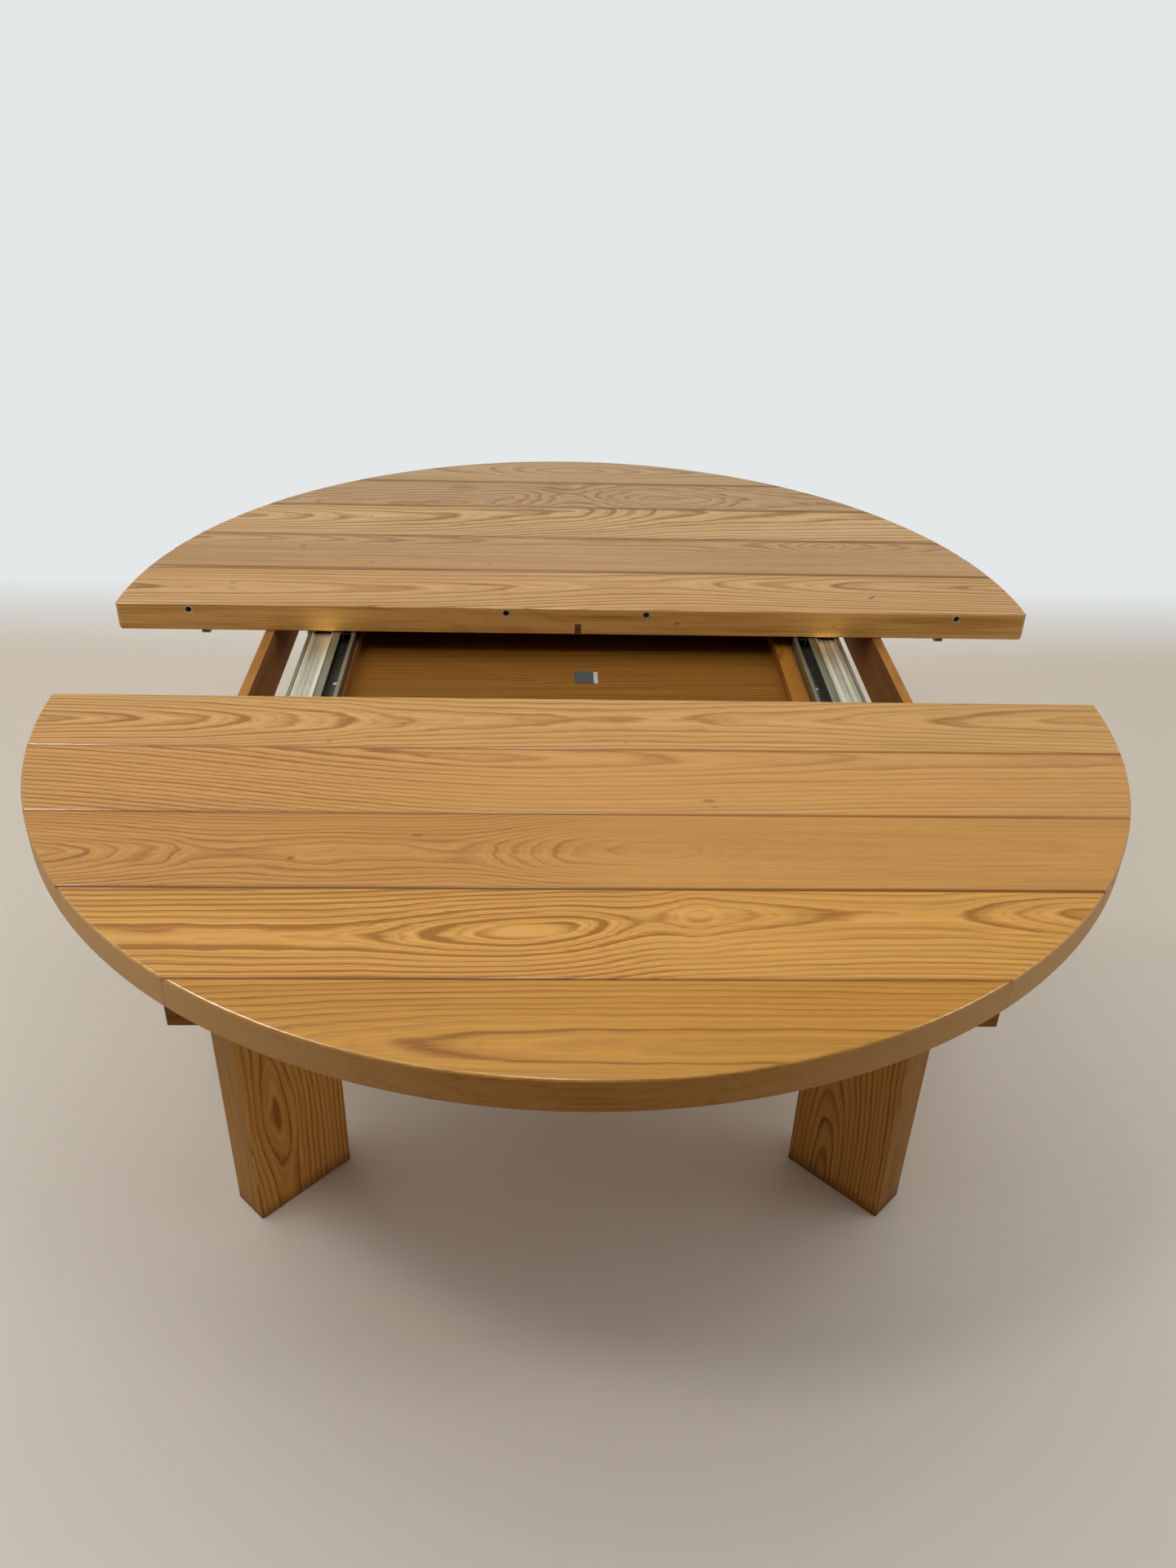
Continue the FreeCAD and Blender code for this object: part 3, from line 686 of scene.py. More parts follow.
def dress(node: str, material: bpy.types.Material) -> None:
    """Gives a carried-over node its material.

    Args:
        node: The node's name.
        material: The material for all its faces.
    """
    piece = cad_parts[node]
    if not piece.material_slots:
        piece.data.materials.append(material)
    for slot in piece.material_slots:
        slot.material = material
    LOG.info("dressed %s", node)


def add_object(name: str, data: bpy.types.ID) -> bpy.types.Object:
    """Adds a new object to the scene."""
    made = bpy.data.objects.new(name, data)
    bpy.context.scene.collection.objects.link(made)
    return made


def middle(node: str) -> Vector:
    """The middle of a node's box."""
    low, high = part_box(node)
    return (low + high) / 2


def show_face(node: str) -> Vector:
    """The middle line of a node's top face, at the table's own middle."""
    low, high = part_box(node)
    return Vector((0.0, (low.y + high.y) / 2, high.z))


# Figures of the boards of each half, from the meeting face outwards
# Each board's tone is partly its own colour and partly painted light: it carries the difference in light
# between the near and the far half.
NEAR_FIGURES = (
    Figure(
        depth=((0.0, 0.02), (0.06, 0.026), (0.14, 0.032), (0.18, 0.038), (0.223, 0.044), (0.273, 0.05),
               (0.31, 0.056), (0.396, 0.062), (0.54, 0.0665), (0.677, 0.062), (0.796, 0.056),
               (0.885, 0.05), (1.0, 0.044)),
        pith=((0.0, -0.001), (0.45, 0.004), (0.75, 0.017), (1.0, 0.017)),
        fade=((0.0, 1.0), (0.6, 0.9), (1.0, 0.6)),
        ring=0.006, contrast=1.15, tone=(1.01, 1.025, 1.15),
        marks=(Mark(-0.295, -0.047, 0.004, 0.0022), Mark(0.052, -0.044, 0.0025, 0.002))),
    Figure(
        depth=((0.0, 0.03), (0.25, 0.026), (0.35, 0.023), (0.42, 0.021), (0.5, 0.024), (0.62, 0.034),
               (0.77, 0.042), (1.0, 0.048)),
        pith=((0.0, 0.125), (0.12, 0.105), (0.25, 0.075), (0.35, 0.055), (0.45, 0.044), (0.6, 0.046),
              (1.0, 0.06)),
        fade=((0.0, 0.95), (0.28, 0.9), (0.38, 0.55), (0.5, 0.35), (1.0, 0.4)),
        ring=0.0082, contrast=1.45, wander=0.01, tone=(0.97, 0.92, 0.92),
        marks=(Mark(0.137, -0.04, 0.008, 0.004, strength=0.5),
               Mark(0.142, -0.052, 0.006, 0.003, strength=0.4))),
    Figure(
        depth=((0.0, 0.018), (0.07, 0.022), (0.17, 0.048), (0.21, 0.052), (0.28, 0.047), (0.35, 0.05),
               (0.4, 0.052), (0.435, 0.047), (0.485, 0.027), (0.565, 0.014), (0.62, 0.03), (0.73, 0.045),
               (1.0, 0.05)),
        pith=((0.0, -0.008), (0.25, -0.016), (0.55, 0.001), (1.0, 0.01)),
        fade=((0.0, 0.9), (0.2, 0.75), (0.45, 0.62), (0.5, 0.42), (0.54, 0.14), (0.66, 0.1), (1.0, 0.25)),
        ring=0.0048, wander=0.01, wobble=0.0022, contrast=1.3, tone=(0.86, 0.775, 0.63),
        marks=(Mark(-0.3, -0.018, 0.005, 0.004), Mark(-0.176, 0.024, 0.007, 0.003),
               Mark(-0.448, -0.022, 0.022, 0.0014, 0.75, 0.35))),
    Figure(
        depth=((0.0, 0.036), (0.2, 0.034), (0.3, 0.034), (0.345, 0.032), (0.38, 0.025), (0.418, 0.017),
               (0.454, 0.0125), (0.488, 0.017), (0.51, 0.024), (0.53, 0.03), (0.548, 0.031),
               (0.565, 0.027), (0.58, 0.02), (0.598, 0.027), (0.64, 0.034), (0.7, 0.039), (0.754, 0.04),
               (0.785, 0.038), (0.823, 0.031), (0.865, 0.024), (1.0, 0.01)),
        pith=((0.0, -0.012), (0.3, -0.01), (0.454, 0.001), (0.52, 0.01), (0.58, 0.026), (0.83, 0.027),
              (1.0, 0.025)),
        fade=((0.0, 1.0), (0.5, 1.0), (0.55, 0.6), (0.6, 0.4), (0.7, 0.5), (0.8, 0.6), (1.0, 0.55)),
        ring=0.007, phase=0.37, uneven=0.12, contrast=1.75, tone=(1.03, 0.97, 0.75),
        marks=(Mark(-0.202, 0.012, 0.024, 0.0012, 0.8, 0.35),
               Mark(-0.06, 0.001, 0.05, 0.012, 0.0, 0.9, True),
               Mark(0.105, 0.026, 0.026, 0.009, 0.0, 0.85, True))),
    Figure(
        depth=((0.0, 0.076), (0.13, 0.062), (0.21, 0.052), (0.28, 0.044), (0.34, 0.037), (0.4, 0.031),
               (0.48, 0.027), (0.62, 0.025), (0.75, 0.026), (1.0, 0.03)),
        pith=((0.0, -0.023), (0.6, -0.023), (1.0, -0.03)),
        fade=((0.0, 0.8), (0.5, 0.8), (1.0, 0.5)),
        ring=0.007, contrast=1.1, tone=(0.85, 0.75, 0.38)),
)
FAR_FIGURES = (
    Figure(
        depth=((0.0, 0.022), (0.154, 0.0255), (0.327, 0.035), (0.477, 0.0445), (0.56, 0.048),
               (0.635, 0.0445), (0.69, 0.037), (0.75, 0.03), (0.81, 0.022), (1.0, 0.01)),
        pith=((0.0, -0.009), (0.3, -0.009), (0.48, 0.013), (0.65, 0.03), (1.0, 0.024)),
        ring=0.0085, contrast=1.1, tone=(0.98, 1.06, 1.45),
        marks=(Mark(0.435, -0.014, 0.007, 0.004, 0.8, 0.8), Mark(-0.5, 0.008, 0.005, 0.004, 0.0, 0.4),
               Mark(-0.497, -0.012, 0.006, 0.004, 0.0, 0.4))),
    Figure(
        depth=((0.0, 0.014), (0.115, 0.02), (0.23, 0.03), (0.42, 0.044), (0.615, 0.046), (0.73, 0.04),
               (0.777, 0.03), (0.807, 0.016), (0.838, 0.03), (0.923, 0.044), (1.0, 0.048)),
        pith=((0.0, 0.05), (1.0, 0.05)),
        fade=((0.0, 1.0), (0.3, 0.8), (0.5, 0.35), (0.75, 0.8), (0.9, 0.5), (1.0, 0.4)),
        ring=0.006, contrast=1.15, tone=(0.85, 0.94, 1.4),
        marks=(Mark(-0.422, 0.018, 0.006, 0.005, 0.0, 0.5),
               Mark(-0.575, 0.02, 0.005, 0.004, 0.0, 0.3),
               Mark(-0.308, -0.042, 0.005, 0.004, 0.0, 0.3),
               Mark(-0.36, -0.034, 0.005, 0.004, 0.0, 0.3), Mark(-0.13, -0.044, 0.005, 0.004, 0.0, 0.3))),
    Figure(
        depth=((0.0, 0.012), (0.092, 0.0145), (0.158, 0.024), (0.212, 0.0335), (0.35, 0.043),
               (0.4, 0.048), (0.507, 0.0525), (0.53, 0.062), (0.555, 0.0715), (0.585, 0.081),
               (0.615, 0.0905), (0.69, 0.1), (1.0, 0.12)),
        pith=((0.0, 0.011), (0.3, 0.011), (0.4, 0.03), (0.5, 0.055), (0.65, 0.062), (1.0, 0.066)),
        ring=0.009, contrast=1.2, tone=(1.03, 1.21, 1.88),
        marks=(Mark(-0.377, 0.008, 0.007, 0.006), Mark(-0.331, 0.012, 0.004, 0.004))),
    Figure(
        depth=((0.0, 0.05), (0.2, 0.03), (0.288, 0.014), (0.38, 0.022), (0.42, 0.03), (0.46, 0.055),
               (0.5, 0.075), (0.54, 0.05), (0.58, 0.025), (0.62, 0.014), (0.67, 0.025), (0.72, 0.05),
               (0.8, 0.06), (1.0, 0.07)),
        pith=((0.0, -0.05), (0.35, -0.05), (0.5, 0.02), (0.62, -0.015), (1.0, -0.01)),
        ring=0.011, contrast=0.9, wander=0.018, wobble=0.006, tone=(0.81, 0.91, 1.5),
        marks=(Mark(0.155, 0.012, 0.06, 0.006, -0.25, 0.7, True),
               Mark(-0.19, 0.03, 0.03, 0.022, 0.0, 0.22), Mark(-0.03, 0.03, 0.036, 0.022, 0.0, 0.2))),
    Figure(
        depth=((0.0, 0.06), (0.27, 0.05), (0.385, 0.04), (0.423, 0.03), (0.46, 0.02), (0.5, 0.016),
               (0.546, 0.022), (0.615, 0.036), (0.73, 0.044), (1.0, 0.05)),
        pith=((0.0, 0.01), (1.0, 0.01)),
        ring=0.008, contrast=0.7, tone=(0.85, 1.00, 1.71)),
)

# Figures of the straight pieces and the legs
STRAIGHT = Figure(depth=((0.0, 0.16), (1.0, 0.15)), ring=0.005, contrast=0.7)
# RAIL_FIGURE paints shade on the rails' sides, which are darker than their tops.
RAIL_FIGURE = replace(STRAIGHT, side_shade=0.5)
# BATTEN_FIGURE's lighter tone is partly painted light: the batten's top stands brighter than the panel
# beside it.
BATTEN_FIGURE = replace(STRAIGHT, tone=(1.2, 1.17, 1.1))
FINE_STRAIGHT = Figure(
    depth=((0.0, 0.06), (1.0, 0.06)), pith=((0.0, 0.6), (1.0, 0.64)),
    ring=0.0075, wander=0.012, contrast=0.9)
EYED_LEG = Figure(
    depth=((0.0, 0.034), (0.08, 0.032), (0.15, 0.028), (0.2, 0.024), (0.25, 0.021), (0.3, 0.024),
           (0.36, 0.028), (0.45, 0.032), (0.6, 0.034), (1.0, 0.038)),
    pith=((0.0, 0.028), (0.3, 0.033), (0.6, 0.04), (1.0, 0.05)),
    ring=0.0068, phase=0.4, uneven=0.15, contrast=1.15, wobble=0.002, side_figure=0.25,
    side_shade=0.6, foot=0.04)
# PEAKED_LEG's darker tone is painted shade: the front right leg's broad face turns away from the light.
PEAKED_LEG = Figure(
    depth=((0.0, 0.008), (0.14, 0.014), (0.25, 0.024), (0.36, 0.036), (0.6, 0.05), (1.0, 0.07)),
    pith=((0.0, 0.022), (0.4, 0.028), (1.0, 0.04)),
    ring=0.0068, contrast=1.1, wobble=0.002, tone=(0.74, 0.72, 0.72), side_figure=0.25,
    side_shade=0.45, foot=0.04)
LEG_FIGURES = {
    "front_left": EYED_LEG,
    "front_right": PEAKED_LEG,
    "back_left": replace(PEAKED_LEG, phase=0.4, tone=(0.92, 0.9, 0.9)),
    "back_right": replace(EYED_LEG, phase=0.7),
}


@dataclass
class HalfTop:
    """One sliding half: its boards, apron, cleats, tongues and spacers."""

    name: str
    figures: tuple[Figure, ...]
    dirt: tuple[float, ...]
    dirt_reach: float
    seed: float
    # edge_shade and meeting_shade are painted shade: the rim and the meeting face are darker than the top.
    edge_shade: float = 0.75
    meeting_shade: float = 0.15
    edge_figure: float = 0.25

    def dress(self) -> None:
        """Gives every piece of the half its finish."""
        span = CAD_BOX[1].x - CAD_BOX[0].x
        for index, figure in enumerate(self.figures):
            node = f"{self.name}_board_{index + 1}"
            low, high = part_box(node)
            meets = self.name == "far" and index == 0
            sawn = replace(
                figure,
                joints=self._joints(index, (high.y - low.y) / 2),
                side_shade=self.meeting_shade if meets else self.edge_shade,
                side_tone=0.0,
                side_figure=self.edge_figure,
            )
            TOP_WOOD.dress(node, Cut(show_face(node), span, Grain.ALONG_X, sawn, self.seed + index))
        apron = f"{self.name}_apron"
        place = middle(apron)
        RAIL_WOOD.dress(apron, Cut(place, 1.0, Grain.ALONG_X, RAIL_FIGURE, self.seed + 6))
        timber = Cut(place, 1.0, Grain.ALONG_Y, STRAIGHT, self.seed + 7)
        plain = PLAIN_TIMBER.material(f"{self.name}_timber", timber)
        for part in ("cleat_left", "cleat_right", "end_cleats", "loose_tongues", "spacers"):
            dress(f"{self.name}_{part}", plain)

    def _joints(self, index: int, half: float) -> tuple[Joint, ...]:
        """The joints along a board's two edges, darkened with dirt and painted shade.

        Args:
            index: The board's number, from 0 at the meeting face.
            half: Half the board's width.

        Returns:
            The joints.
        """
        away = -half if self.name == "near" else half
        outer = [Joint(away, self.dirt_reach, dirt) for dirt in self.dirt[index:index + 1]]
        inner = [Joint(-away, self.dirt_reach, dirt) for dirt in self.dirt[:index][-1:]]
        return (*outer, *inner)


@dataclass
class Base:
    """The fixed frame: legs, rails, bearers and the well."""

    seed: float = 40.0
    leg_thickness: float = 0.058
    rail_length: float = 0.8
    batten_length: float = 0.75

    def dress(self) -> None:
        """Gives every piece of the base its finish."""
        self._legs()
        self._rails()
        self._well()

    def _legs(self) -> None:
        """Gives each leg its own slab."""
        for index, (corner, figure) in enumerate(LEG_FIGURES.items()):
            node = f"leg_{corner}"
            grain = Grain[f"UPRIGHT_{corner.upper()}"]
            low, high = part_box(node)
            outward = Euler(grain.value).to_matrix() @ Vector((0.0, 0.0, self.leg_thickness / 2))
            place = middle(node) + outward
            LEG_WOOD.dress(node, Cut(place, high.z - low.z, grain, figure, self.seed + index))

    def _rails(self) -> None:
        """Gives the rails, bearers and dowels straight wood."""
        runs = {
            "side_rail_left": (Grain.ALONG_Y, 5.0),
            "side_rail_right": (Grain.ALONG_Y, 6.0),
            "bearer_left": (Grain.ALONG_Y, 8.0),
            "bearer_right": (Grain.ALONG_Y, 9.0),
            "cross_rail_front": (Grain.ALONG_X, 11.0),
            "cross_rail_back": (Grain.ALONG_X, 12.0),
        }
        for node, (grain, seed) in runs.items():
            RAIL_WOOD.dress(node, Cut(middle(node), self.rail_length, grain, RAIL_FIGURE, self.seed + seed))
        dowels = Cut(Vector(), self.rail_length, Grain.ALONG_Y, STRAIGHT, self.seed + 15)
        dress("base_dowels", PLAIN_TIMBER.material("dowel_timber", dowels))

    def _well(self) -> None:
        """Gives the well its veneers and the blank plate."""
        low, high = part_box("well_panel")
        panel = Cut(show_face("well_panel"), high.x - low.x, Grain.ALONG_X, FINE_STRAIGHT, self.seed + 13)
        dress("well_panel", VENEER.material("well_panel_veneer", panel))
        strip = middle("well_batten")
        batten = Cut(strip, self.batten_length, Grain.ALONG_Y, BATTEN_FIGURE, self.seed + 14)
        dress("well_batten", VENEER.material("well_batten_veneer", batten))
        dress("blank_plate", PLATE_DARK.material("blank_plate_dark", 1.0))
        dress("blank_plate_strip", PLATE_PALE.material("blank_plate_pale", 2.0))


@dataclass(frozen=True)
class ScrewSize:
    """Sizes of one kind of screw in metres, and the turn that points its head up or down."""

    head_radius: float = 0.0032
    neck_radius: float = 0.0032
    head_depth: float = 0.0022
    shank_radius: float = 0.00175
    slot_width: float = 0.0010
    slot_depth: float = 0.0011
    flip: float = math.pi


class ScrewGraph:
    """Geometry Nodes tree that drives a cross-slotted screw at each point of a mesh."""

    sides = 28
    slot_length = 1.2

    def __init__(self, name: str, material: bpy.types.Material) -> None:
        """Builds the tree.

        Args:
            name: The tree's name.
            material: The screws' finish.
        """
        self.tree = bpy.data.node_groups.new(name, "GeometryNodeTree")
        self.graph = NodeGraph(self.tree)
        self._sockets()
        screws = self._screws()
        finished = self.graph.node("GeometryNodeSetMaterial", {}, {"Geometry": screws, "Material": material})
        self.graph.node("NodeGroupOutput", {}, {0: finished})

    def _sockets(self) -> None:
        sockets = self.tree.interface
        sockets.new_socket("Geometry", in_out="INPUT", socket_type="NodeSocketGeometry")
        for size in fields(ScrewSize):
            sockets.new_socket(size.name, in_out="INPUT", socket_type="NodeSocketFloat")
        sockets.new_socket("seed", in_out="INPUT", socket_type="NodeSocketInt")
        sockets.new_socket("Geometry", in_out="OUTPUT", socket_type="NodeSocketGeometry")

    def _given(self, name: str) -> Signal:
        """One of the tree's named inputs."""
        return self.graph.node("NodeGroupInput", {}, {}, name)

    def _head(self) -> Signal:
        """The head, its top at the origin, with its cross slot.

        Returns:
            The head's geometry.
        """
        graph = self.graph
        depth = self._given("head_depth")
        cone = graph.node("GeometryNodeMeshCone", {"fill_type": "NGON"}, {
            "Vertices": self.sides,
            "Radius Top": self._given("head_radius"),
            "Radius Bottom": self._given("neck_radius"),
            "Depth": depth,
        })
        drop = graph.vector(z=depth * -1.0)
        cone = graph.node("GeometryNodeTransform", {}, {"Geometry": cone, "Translation": drop})
        length = self._given("head_radius") * self.slot_length
        width = self._given("slot_width")
        height = self._given("slot_depth") * 2.0
        cuts = []
        for first, second in ((length, width), (width, length)):
            size = graph.vector(first, second, height)
            cuts.append(graph.node("GeometryNodeMeshCube", {}, {"Size": size}))
        return graph.node("GeometryNodeMeshBoolean", {"operation": "DIFFERENCE", "solver": "EXACT"},
                          {"Mesh 1": cone, "Mesh 2": cuts})

    def _shank(self) -> Signal:
        """A shank of unit length below the origin.

        Returns:
            The shank's geometry.
        """
        sizes = {"Vertices": self.sides, "Radius": self._given("shank_radius"), "Depth": 1.0}
        rod = self.graph.node("GeometryNodeMeshCylinder", {"fill_type": "NGON"}, sizes)
        lowered = {"Geometry": rod, "Translation": (0.0, 0.0, -0.5)}
        return self.graph.node("GeometryNodeTransform", {}, lowered)

    def _screws(self) -> Signal:
        """Heads and shanks at every point, as one real mesh.

        Returns:
            The screws' geometry.
        """
        graph = self.graph
        points = self._given("Geometry")
        chance = {"Max": math.pi / 2, "Seed": self._given("seed")}
        turn = graph.node("FunctionNodeRandomValue", {"data_type": "FLOAT"}, chance, 1)
        pose = graph.vector(self._given("flip"), z=turn)
        heads = graph.node("GeometryNodeInstanceOnPoints", {}, {
            "Points": points,
            "Instance": self._head(),
            "Rotation": pose,
        })
        length = {"Name": "shank_length"}
        reach = graph.node("GeometryNodeInputNamedAttribute", {"data_type": "FLOAT"}, length)
        offset = graph.vector(z=self._given("head_depth") * self._given("flip").math("COSINE") * -1.0)
        shanks = graph.node("GeometryNodeInstanceOnPoints", {}, {
            "Points": graph.node("GeometryNodeSetPosition", {}, {"Geometry": points, "Offset": offset}),
            "Instance": self._shank(),
            "Rotation": graph.vector(self._given("flip")),
            "Scale": graph.vector(1.0, 1.0, reach),
        })
        joined = graph.node("GeometryNodeJoinGeometry", {}, {"Geometry": [heads, shanks]})
        return graph.node("GeometryNodeRealizeInstances", {}, {"Geometry": joined})


@dataclass(frozen=True)
class ScrewSet:
    """All the screws of one node, driven again with slotted heads.

    Points less than apart head radii from each other belong to one screw.
    """

    node: str
    body: str
    size: ScrewSize
    seed: int
    apart: float = 2.1

    def build(self, material: bpy.types.Material) -> None:
        """Makes the screws and lets them stand for the node.

        Args:
            material: The screws' finish.
        """
        name = f"{self.node}_slotted"
        holder = add_object(f"{name}_points", self._points())
        graph = ScrewGraph(name, material)
        modifier = holder.modifiers.new(name, "NODES")
        modifier.node_group = graph.tree
        given = asdict(self.size) | {"seed": self.seed}
        for socket in graph.tree.interface.items_tree:
            if socket.in_out == "INPUT" and socket.name in given:
                modifier[socket.identifier] = given[socket.name]
        evaluated = holder.evaluated_get(bpy.context.evaluated_depsgraph_get())
        mesh = bpy.data.meshes.new_from_object(evaluated)
        holder.modifiers.remove(modifier)
        bpy.data.objects.remove(holder)
        screws = add_object(name, mesh)
        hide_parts(self.node)
        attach(screws, self.body)
        LOG.info("drove %s", name)

    def _points(self) -> bpy.types.Mesh:
        """One point at the middle of each screw's head, with its shank's length.

        Returns:
            A mesh of points.
        """
        groups: list[list[Vector]] = []
        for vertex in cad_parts[self.node].data.vertices:
            for group in groups:
                if (vertex.co - group[0]).xy.length < self.size.head_radius * self.apart:
                    group.append(vertex.co)
                    break
            else:
                groups.append([vertex.co])
        points, lengths = [], []
        for group in groups:
            low = Vector(min(point[axis] for point in group) for axis in range(3))
            high = Vector(max(point[axis] for point in group) for axis in range(3))
            height = low.z if self.size.flip else high.z
            points.append(Vector(((low.x + high.x) / 2, (low.y + high.y) / 2, height)))
            lengths.append(high.z - low.z - self.size.head_depth)
        mesh = bpy.data.meshes.new(f"{self.node}_points")
        mesh.from_pydata(points, [], [])
        mesh.attributes.new("shank_length", "FLOAT", "POINT").data.foreach_set("value", lengths)
        return mesh


@dataclass
class Slides:
    """The ball slides that carry the two halves."""

    pan_head: ScrewSize = ScrewSize()
    countersunk: ScrewSize = ScrewSize(neck_radius=0.00175, head_depth=0.0025, flip=0.0)

    def dress(self) -> None:
        """Gives the slides' members their plating."""
        channel = DARK_CHANNEL_ZINC.material("channel_zinc", 3.0)
        runner = BRIGHT_ZINC.material("runner_zinc", 4.0)
        for side in ("left", "right"):
            dress(f"inner_channel_{side}", channel)
            dress(f"outer_channel_{side}", channel)
            dress(f"near_runner_{side}", runner)
            dress(f"far_runner_{side}", runner)
        for node in ("near_ball_cages", "far_ball_cages", "near_balls", "far_balls"):
            dress(node, runner)

    def screws(self) -> None:
        """Drives the channels' and both halves' screws."""
        zinc = SCREW_ZINC.material("screw_zinc", 8.0)
        ScrewSet("channel_screws", "base", self.countersunk, seed=1).build(zinc)
        ScrewSet("near_screws", "near_half", self.pan_head, seed=2).build(zinc)
        ScrewSet("far_screws", "far_half", self.pan_head, seed=3).build(zinc)


@dataclass
class Fittings:
    """Pins, sleeves, key, staples and bolts of the meeting faces."""

    key_length: float = 0.02

    def dress(self) -> None:
        """Gives the fittings their finishes."""
        steel = DULL_STEEL.material("fitting_steel", 5.0)
        for node in ("locating_pins", "bolt_guides", "bolt_keepers", "bolt_left", "bolt_right"):
            dress(node, steel)
        dress("pin_sleeves", SLEEVE_METAL.material("sleeve_metal", 6.0))
        key = Cut(middle("meeting_key"), self.key_length, Grain.ALONG_X, STRAIGHT, 7.0)
        dress("meeting_key", KEY_WOOD.material("key_wood", key))


@dataclass(frozen=True)
class Lamp:
    """One soft rectangular lamp; unturned it faces the floor."""

    name: str
    place: Triple
    size: Pair
    watts: float
    turn: Triple = (0.0, 0.0, 0.0)
    on_gloss: bool = True
    on_matt: bool = True

    def hang(self) -> None:
        """Adds the lamp to the scene."""
        data = bpy.data.lights.new(self.name, "AREA")
        data.shape = "RECTANGLE"
        data.size, data.size_y = self.size
        data.energy = self.watts
        lamp = add_object(self.name, data)
        lamp.location = self.place
        lamp.rotation_euler = self.turn
        lamp.visible_glossy = self.on_gloss
        lamp.visible_diffuse = self.on_matt


FROM_LEFT: Triple = (0.0, -math.pi / 2, 0.0)
FROM_RIGHT: Triple = (0.0, math.pi / 2, 0.0)
LAMPS = (
    Lamp("left_key", (-0.8, -1.35, 2.7), (0.30, 0.30), 10.8),
    Lamp("right_key", (0.6, -1.35, 2.7), (0.30, 0.30), 3.8),
    Lamp("fill_panel", (-0.4, 0.2, 2.9), (4.2, 3.2), 27.5, on_gloss=False),
    Lamp("left_window", (-3.2, -0.2, 1.1), (1.6, 2.6), 8.0, FROM_LEFT),
    Lamp("right_window", (3.2, -0.2, 1.1), (1.6, 2.6), 11.0, FROM_RIGHT),
    Lamp("left_glint", (-1.6, -0.3, 2.8), (0.6, 1.8), 200.0, on_matt=False),
    Lamp("middle_glint", (-0.1, -0.2, 2.9), (0.3, 1.4), 80.0, on_matt=False),
    Lamp("right_glint", (2.5, -0.6, 2.8), (0.4, 1.2), 150.0, on_matt=False),
)


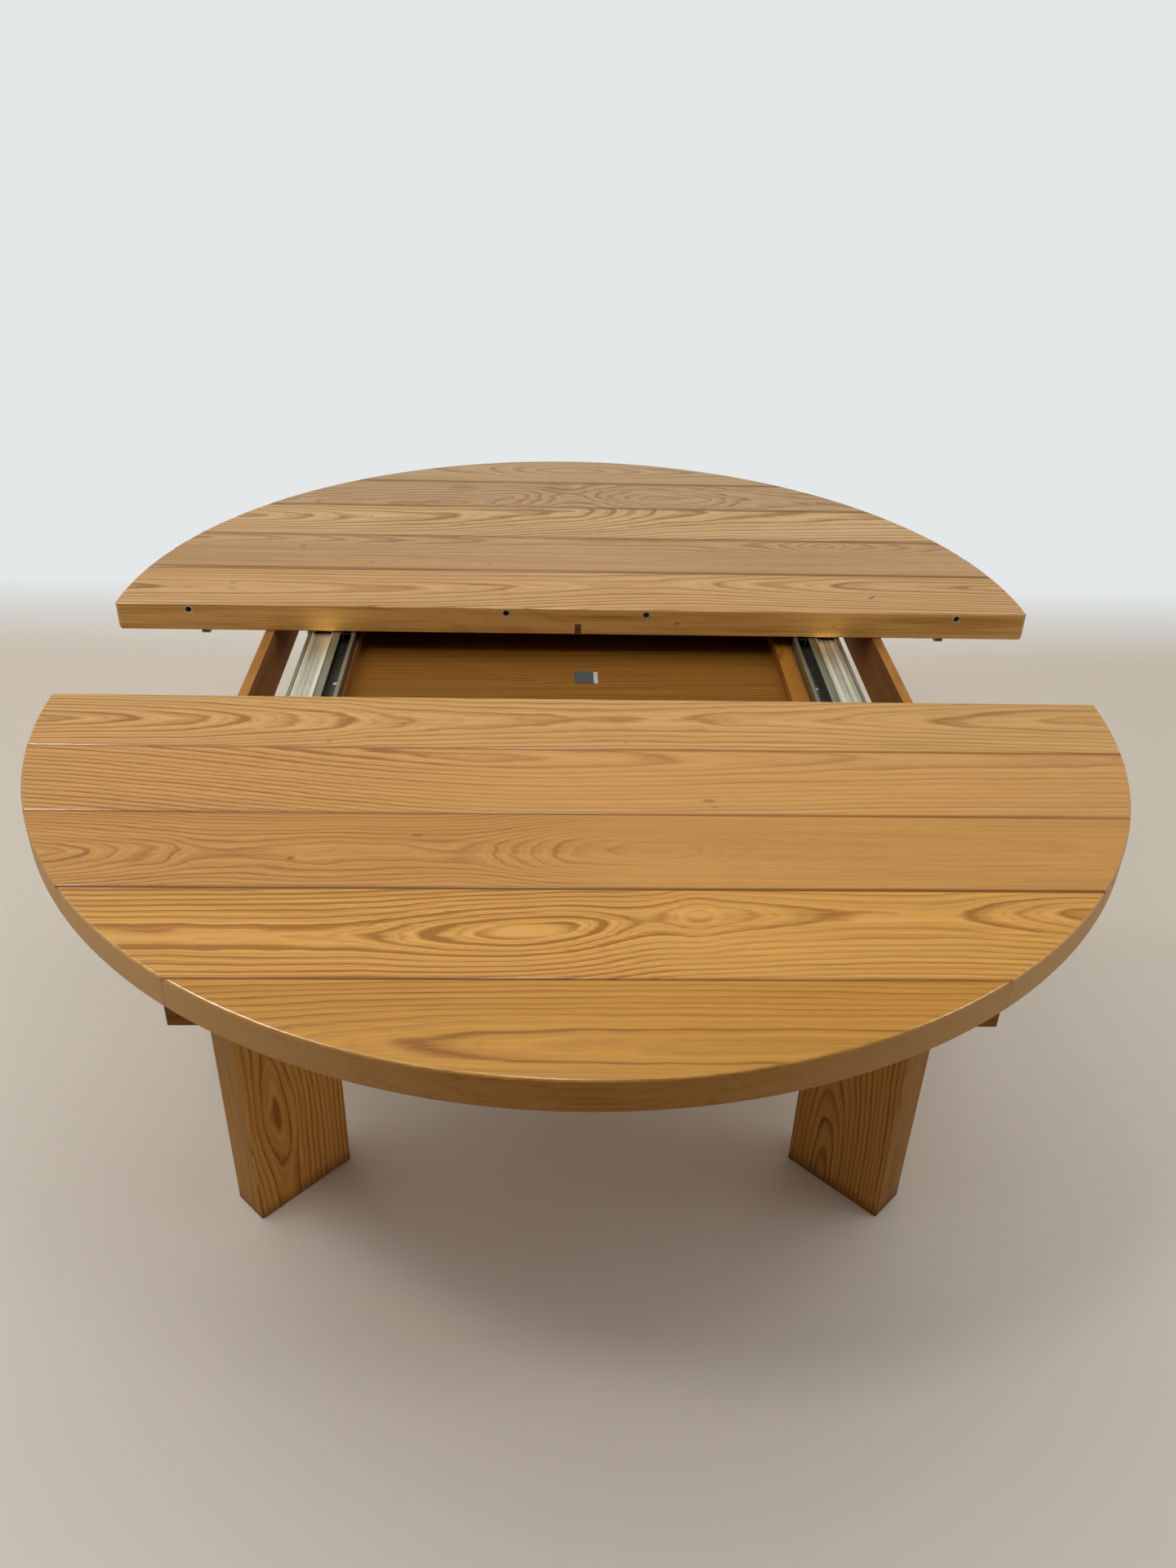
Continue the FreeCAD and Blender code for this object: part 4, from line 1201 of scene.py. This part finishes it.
@dataclass
class Studio:
    """Camera, lamps, floor and backdrop."""

    eye: Vector = field(default_factory=lambda: Vector((-0.0449, -1.5287, 1.4837)))
    pitch: float = 0.5658
    yaw: float = 0.0414
    roll: float = -0.0306
    lens: float = 29.226
    sensor: float = 36.0
    sight: float = 50.0
    wall_y: float = 1.62
    cove: float = 0.25
    cove_steps: int = 12
    ambient: float = 0.42
    seen_level: float = 0.80
    glossy_level: float = 0.30
    flag_y: float = -4.0
    flag_height: float = 4.2
    wall_height: float = 2.4
    half_width: float = 7.0
    air: tuple[float, ...] = (0.96, 0.98, 1.0, 1.0)
    paper: tuple[float, ...] = (0.81, 0.73, 0.62, 1.0)
    far_paper: tuple[float, ...] = (0.78, 0.805, 0.815, 1.0)
    cloth: tuple[float, ...] = (0.10, 0.10, 0.10, 1.0)

    def camera(self) -> None:
        """Sets up the camera at the photograph's viewpoint."""
        forward = Vector((
            math.sin(self.yaw) * math.cos(self.pitch),
            math.cos(self.yaw) * math.cos(self.pitch),
            -math.sin(self.pitch),
        ))
        level = Vector((math.cos(self.yaw), -math.sin(self.yaw), 0.0))
        down = forward.cross(level)
        right = math.cos(self.roll) * level + math.sin(self.roll) * down
        under = -math.sin(self.roll) * level + math.cos(self.roll) * down
        data = bpy.data.cameras.new("viewpoint")
        data.sensor_width = self.sensor
        data.lens = self.lens
        data.clip_end = self.sight
        camera = add_object("viewpoint", data)
        turn = Matrix((right, -under, -forward)).transposed().to_4x4()
        camera.matrix_world = Matrix.Translation(self.eye) @ turn
        bpy.context.scene.camera = camera

    def lights(self) -> None:
        """Hangs the lamps and sets the world's light."""
        for lamp in LAMPS:
            lamp.hang()
        world = bpy.data.worlds.new("studio_world")
        world.use_nodes = True
        bpy.context.scene.world = world
        graph = NodeGraph(world.node_tree)
        shown = graph.node("ShaderNodeBackground", {}, {"Color": self.air, "Strength": self.ambient})
        levels = {"Camera": self.seen_level, "Transmission": self.seen_level, "Glossy": self.glossy_level}
        for kind, level in levels.items():
            asked = graph.ray(kind)
            card = graph.node("ShaderNodeBackground", {}, {"Color": self.air, "Strength": level})
            shown = graph.node("ShaderNodeMixShader", {}, {0: asked, 1: shown, 2: card})
        graph.node("ShaderNodeOutputWorld", {}, {"Surface": shown})

    def backdrop(self) -> None:
        """Lays the pale floor, the wall behind and the dark cloth in front."""
        sides = (-self.half_width, self.half_width)
        mesh = bmesh.new()
        rows = [[mesh.verts.new((x, y, z)) for x in sides] for y, z in self._profile()]
        for first, second in zip(rows, rows[1:]):
            face = mesh.faces.new((first[0], first[1], second[1], second[0]))
            face.smooth = True
        left, right = sides
        corners = ((left, 0.0), (left, self.flag_height), (right, self.flag_height), (right, 0.0))
        flag = mesh.faces.new([mesh.verts.new((x, self.flag_y, z)) for x, z in corners])
        flag.material_index = 1
        data = bpy.data.meshes.new("studio_floor")
        mesh.to_mesh(data)
        mesh.free()
        data.materials.append(self._paper())
        data.materials.append(self._flag())
        floor = add_object("studio_floor", data)

    def _profile(self) -> list[Pair]:
        """The paper's section, from the front of the floor to the top of the wall.

        Returns:
            Depths and heights.
        """
        start = self.wall_y - self.cove
        points = [(self.flag_y, 0.0), (start, 0.0)]
        for step in range(1, self.cove_steps + 1):
            angle = step / self.cove_steps * math.pi / 2
            points.append((start + self.cove * math.sin(angle), self.cove - self.cove * math.cos(angle)))
        return [*points, (self.wall_y, self.wall_height)]

    def _paper(self) -> bpy.types.Material:
        """The pale paper, which is plain and bright where it rises to the wall.

        Returns:
            The paper's material.
        """
        tree = ShaderTree("studio_paper")
        rise = tree.remap(tree.parts(tree.point())[2], (0.0, self.cove / 2))
        seen = tree.ray("Camera")
        for kind in ("Glossy", "Transmission"):
            seen = seen.math("MAXIMUM", tree.ray(kind))
        card = tree.node("ShaderNodeBsdfPrincipled", {}, {"Base Color": self.paper, "Roughness": 0.9})
        glow = tree.node("ShaderNodeEmission", {}, {"Color": self.far_paper, "Strength": 1.0})
        sheet = tree.node("ShaderNodeMixShader", {}, {0: rise * seen, 1: card, 2: glow})
        return self._one_sided(tree, sheet, tree.node("ShaderNodeNewGeometry", {}, {}, "Backfacing"))

    def _flag(self) -> bpy.types.Material:
        """The dark cloth in front, which the camera and the light from its back pass through.

        Returns:
            The cloth's material.
        """
        tree = ShaderTree("studio_flag")
        cloth = tree.node("ShaderNodeBsdfPrincipled", {}, {"Base Color": self.cloth, "Roughness": 1.0})
        behind = tree.node("ShaderNodeNewGeometry", {}, {}, "Backfacing")
        unseen = behind.math("MAXIMUM", tree.ray("Camera"))
        return self._one_sided(tree, cloth, unseen)

    @staticmethod
    def _one_sided(tree: ShaderTree, front: Signal, unseen: Signal) -> bpy.types.Material:
        """Ends a tree in a shader that is clear where it isn't to be seen.

        Args:
            tree: The material's tree.
            front: The shader of the front.
            unseen: 1 where the sheet is clear.

        Returns:
            The finished material.
        """
        clear = tree.node("ShaderNodeBsdfTransparent")
        sheet = tree.node("ShaderNodeMixShader", {}, {0: unseen, 1: front, 2: clear})
        tree.node("ShaderNodeOutputMaterial", {}, {"Surface": sheet})
        return tree.material

    def build(self) -> None:
        """Sets up the whole studio."""
        self.camera()
        self.lights()
        self.backdrop()
        bpy.context.scene.view_settings.view_transform = "Standard"


def main() -> None:
    """Dresses the table and sets up the studio."""
    logging.basicConfig(level=logging.INFO, format="%(name)s: %(message)s")
    near = HalfTop("near", NEAR_FIGURES, dirt=(0.50, 0.50, 0.85, 0.40), dirt_reach=0.0034, seed=11.0)
    far = HalfTop("far", FAR_FIGURES, dirt=(0.75, 0.65, 0.65, 0.7), dirt_reach=0.0062, seed=23.0)
    near.dress()
    far.dress()
    Base().dress()
    slides = Slides()
    slides.dress()
    slides.screws()
    Fittings().dress()
    Studio().build()


if __name__ == "__main__":
    main()
